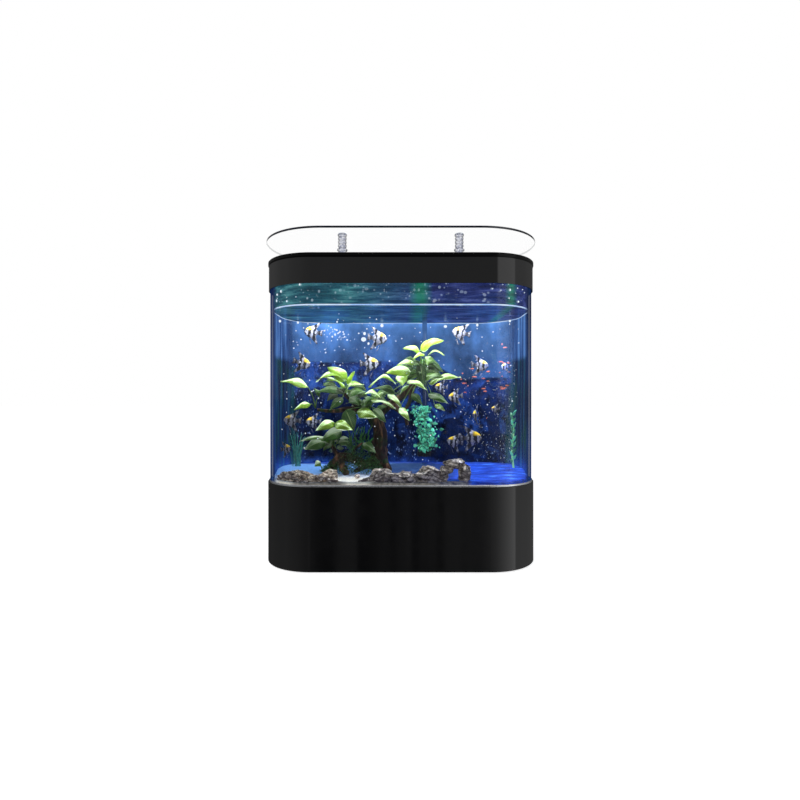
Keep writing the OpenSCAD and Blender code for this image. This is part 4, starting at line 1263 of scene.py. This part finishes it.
def finish_cad_nodes():
    black = gloss_black()
    satin = surface("satin_black", (0.01, 0.01, 0.011), (0.022, 0.022, 0.024), 220.0, grain=0.15,
                    depth=0.0003)
    lip = surface("lip_black", (0.0004, 0.0004, 0.0005), (0.0012, 0.0012, 0.0014), 30.0, rough=(0.1, 0.2),
                  shine=0.12)
    board = surface("board", (0.03, 0.026, 0.022), (0.075, 0.062, 0.05), 30.0, (1, 6, 6), (0.45, 0.6),
                    grain=0.2)
    rubber = surface("rubber", (0.012, 0.012, 0.012), (0.03, 0.03, 0.03), 300.0, rough=(0.7, 0.9))
    steel = surface("steel", (0.42, 0.43, 0.45), (0.66, 0.67, 0.7), 90.0, (1, 1, 12), (0.22, 0.38), 1.0, 0.05)
    chrome = surface("chrome", (0.72, 0.73, 0.75), (0.88, 0.88, 0.9), 60.0, rough=(0.04, 0.12), metal=1.0,
                     grain=0.02)
    silver = surface("silver_trim", (0.62, 0.64, 0.67), (0.86, 0.88, 0.92), 50.0, (1, 1, 6), (0.18, 0.32),
                     0.9, 0.03)
    # Blues for the tank glass's painted glow at a glance
    painted_glow_blues = ((0.002, 0.007, 0.035), (0.010, 0.035, 0.14))
    glass = clear_glass("tank_glass", (0.975, 0.99, 1.0), 0.015, 0.25, deep=painted_glow_blues)
    dark_edge = ((0.002, 0.004, 0.012), (0.008, 0.016, 0.035))
    top = clear_glass("top_glass", (1.0, 1.0, 1.0), 0.004, 0.02, edge=dark_edge)
    soft_pads = clear_glass("soft_pads", (0.9, 0.93, 0.97), 0.02, 0.2)
    seam = clear_glass("clear_silicone", (0.85, 0.90, 0.95), 0.02, 0.15)
    plastic = surface("pump_plastic", (0.008, 0.008, 0.010), (0.022, 0.022, 0.026), 260.0)
    smoky = surface("smoky_plastic", (0.004, 0.03, 0.06), (0.012, 0.09, 0.13), 14.0, (1, 1, 4), (0.15, 0.3))
    ceramic = surface("ceramic", (0.55, 0.48, 0.38), (0.86, 0.80, 0.68), 120.0, rough=(0.8, 0.95), grain=0.5)
    looks = {
        "base_skin hood_band service_door": black,
        "top_frame": lip,
        "top_panel feed_flap filter_flap hood_ledge cross_bars riser_elbow switch_block": satin,
        "base_floor base_deck support_panels door_frame": board,
        "foot_pads cable_gland suction_cups": rubber,
        "silicone_seams": seam,
        "foam_mat bottom_glass": glow_floor(),
        "door_pins door_frame_screws door_strike feed_flap_pins filter_flap_pins door_magnet": steel,
        "door_knob light_button pump_button": chrome,
        "bottom_trim lamp_housing": silver,
        "front_glass rear_glass": glass,
        "tabletop": top,
        "riser_pipe": filled_tube(),
        "pillar_pads": soft_pads,
        "backdrop_film": backdrop(),
        "led_board": surface("led_board", (0.75, 0.75, 0.72), (0.92, 0.92, 0.9), 80.0),
        "led_chips lamp_lens": glowing("lamp_glow", (0.75, 0.86, 1.0), (1, 1, 1), 3.0),
        "filter_box": smoky,
        "ceramic_rings pump_shaft": ceramic,
        "pump_body pump_cover pump_strainer impeller": plastic,
    }
    for names, material in looks.items():
        for name in names.split():
            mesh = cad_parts[name].data
            mesh.materials.clear()
            mesh.materials.append(material)


# ---------- stage ----------

def studio_world():
    """White for the camera, soft grey for everyday light, upright bands of room light for reflections."""
    s = Shader("studio", world=True)
    x, y, z = s.axes("Generated")
    turn = s.math("MULTIPLY_ADD", s.math("ARCTAN2", x, s.times(y, -1.0)), 0.5 / math.pi, 0.5)
    low = s.ramp(
        turn,
        (0.0, 0.015), (0.05, 0.015), (0.13, 0.042), (0.214, 0.11), (0.31, 0.19), (0.39, 0.16), (0.465, 0.085),
        (0.479, 0.015), (0.52, 0.04), (0.528, 0.145), (0.58, 0.42), (0.68, 1.0), (0.688, 1.0), (0.694, 0.48),
        (0.76, 0.35), (0.79, 0.27), (0.87, 0.11), (0.95, 0.03),
    )
    rows = s.add("TexNoise", {"W": turn, "Scale": 150.0, "Detail": 3.0}, noise_dimensions="1D").outputs[0]
    front = s.ramp(turn, (0.44, 0.0), (0.47, 1.0), (0.53, 1.0), (0.56, 0.0))
    rows = s.tint(s.ramp(rows, (0.44, 0.0), (0.50, 0.04), (0.58, 0.08)), front)
    low = s.mix(1.0, low, rows, "ADD")
    high = s.ramp(
        turn,
        (0.0, 0.02), (0.05, 0.04), (0.13, 0.11), (0.214, 0.27), (0.31, 0.38), (0.39, 0.34), (0.47, 0.27),
        (0.5, 0.245), (0.565, 0.25), (0.575, 0.88), (0.688, 0.9), (0.694, 0.46), (0.786, 0.27),
        (0.87, 0.11), (0.95, 0.03),
    )
    bands = s.mix(s.math("GREATER_THAN", z, 0.0), low, high)
    path = s.add("LightPath").outputs
    gloss = s.add("Background", {"Color": bands, "Strength": 1.3}).outputs[0]
    felt = s.add("Background", {"Color": (0.9, 0.94, 1.0), "Strength": 0.30}).outputs[0]
    shown = s.add("Background", {"Color": (1, 1, 1)}).outputs[0]
    return s.done(s.join(path["Is Camera Ray"], s.join(path["Is Glossy Ray"], felt, gloss), shown))


def make_stage():
    bpy.context.scene.world = studio_world()

    s = Shader("pale_floor")
    pale = s.ramp(s.noise(2.0), (0.3, 0.86), (0.7, 0.9))
    seen = s.both(s.add("BsdfDiffuse", {"Color": pale}).outputs[0], s.glow((1, 1, 1), 0.80))
    floor_look = s.done(s.join(s.add("LightPath").outputs["Is Camera Ray"], s.glow((1, 1, 1), 0.10), seen))
    mesh = bpy.data.meshes.new("floor")
    reach = 30
    corners = [(-reach, -reach, 0), (reach, -reach, 0), (reach, reach, 0), (-reach, reach, 0)]
    mesh.from_pydata(corners, [], [(0, 1, 2, 3)])
    mesh.materials.append(floor_look)
    floor = bpy.data.objects.new("floor", mesh)
    bpy.context.scene.collection.objects.link(floor)
    floor.visible_glossy = False

    area_light("key", (-1.3, -2.2, 2.6), (0, 0, 0.5), (1.6, 1.6), 40)
    area_light("right_soft", (1.5, -1.7, 0.1), (0.3, 0, 0.3), (1.0, 3.0), 6.0)
    area_light("right_strip", (1.25, -0.35, 0.2), (0.38, 0, 0.3), (0.4, 3.0), 1.6)
    area_light("left_soft", (-1.6, -1.2, 0.2), (-0.3, 0, 0.4), (0.6, 3.0), 1.2)
    lamp = (0, -0.02, WATER_Z - 0.006)
    area_light("lamp_light", lamp, (0, -0.02, 0.2), (0.62, 0.20), 6.5, (0.90, 0.96, 1.0))
    area_light("blue_light", (0.30, 0.02, 0.66), (0.28, 0.0, 0.26), (0.10, 0.10), 1.0, (0.12, 0.30, 1.0))
    bpy.context.scene.view_settings.view_transform = "Standard"


CRYSTAL = crystal()

make_camera()
make_stage()
finish_cad_nodes()
make_water()
air = random.Random(7)
make_bubbles(air)
make_droplets(air)
make_sand()
make_rocks()
make_driftwood()
make_broad_leaves()
make_small_plants()
make_fish()
make_red_fish()
make_pillars()
make_sponge()
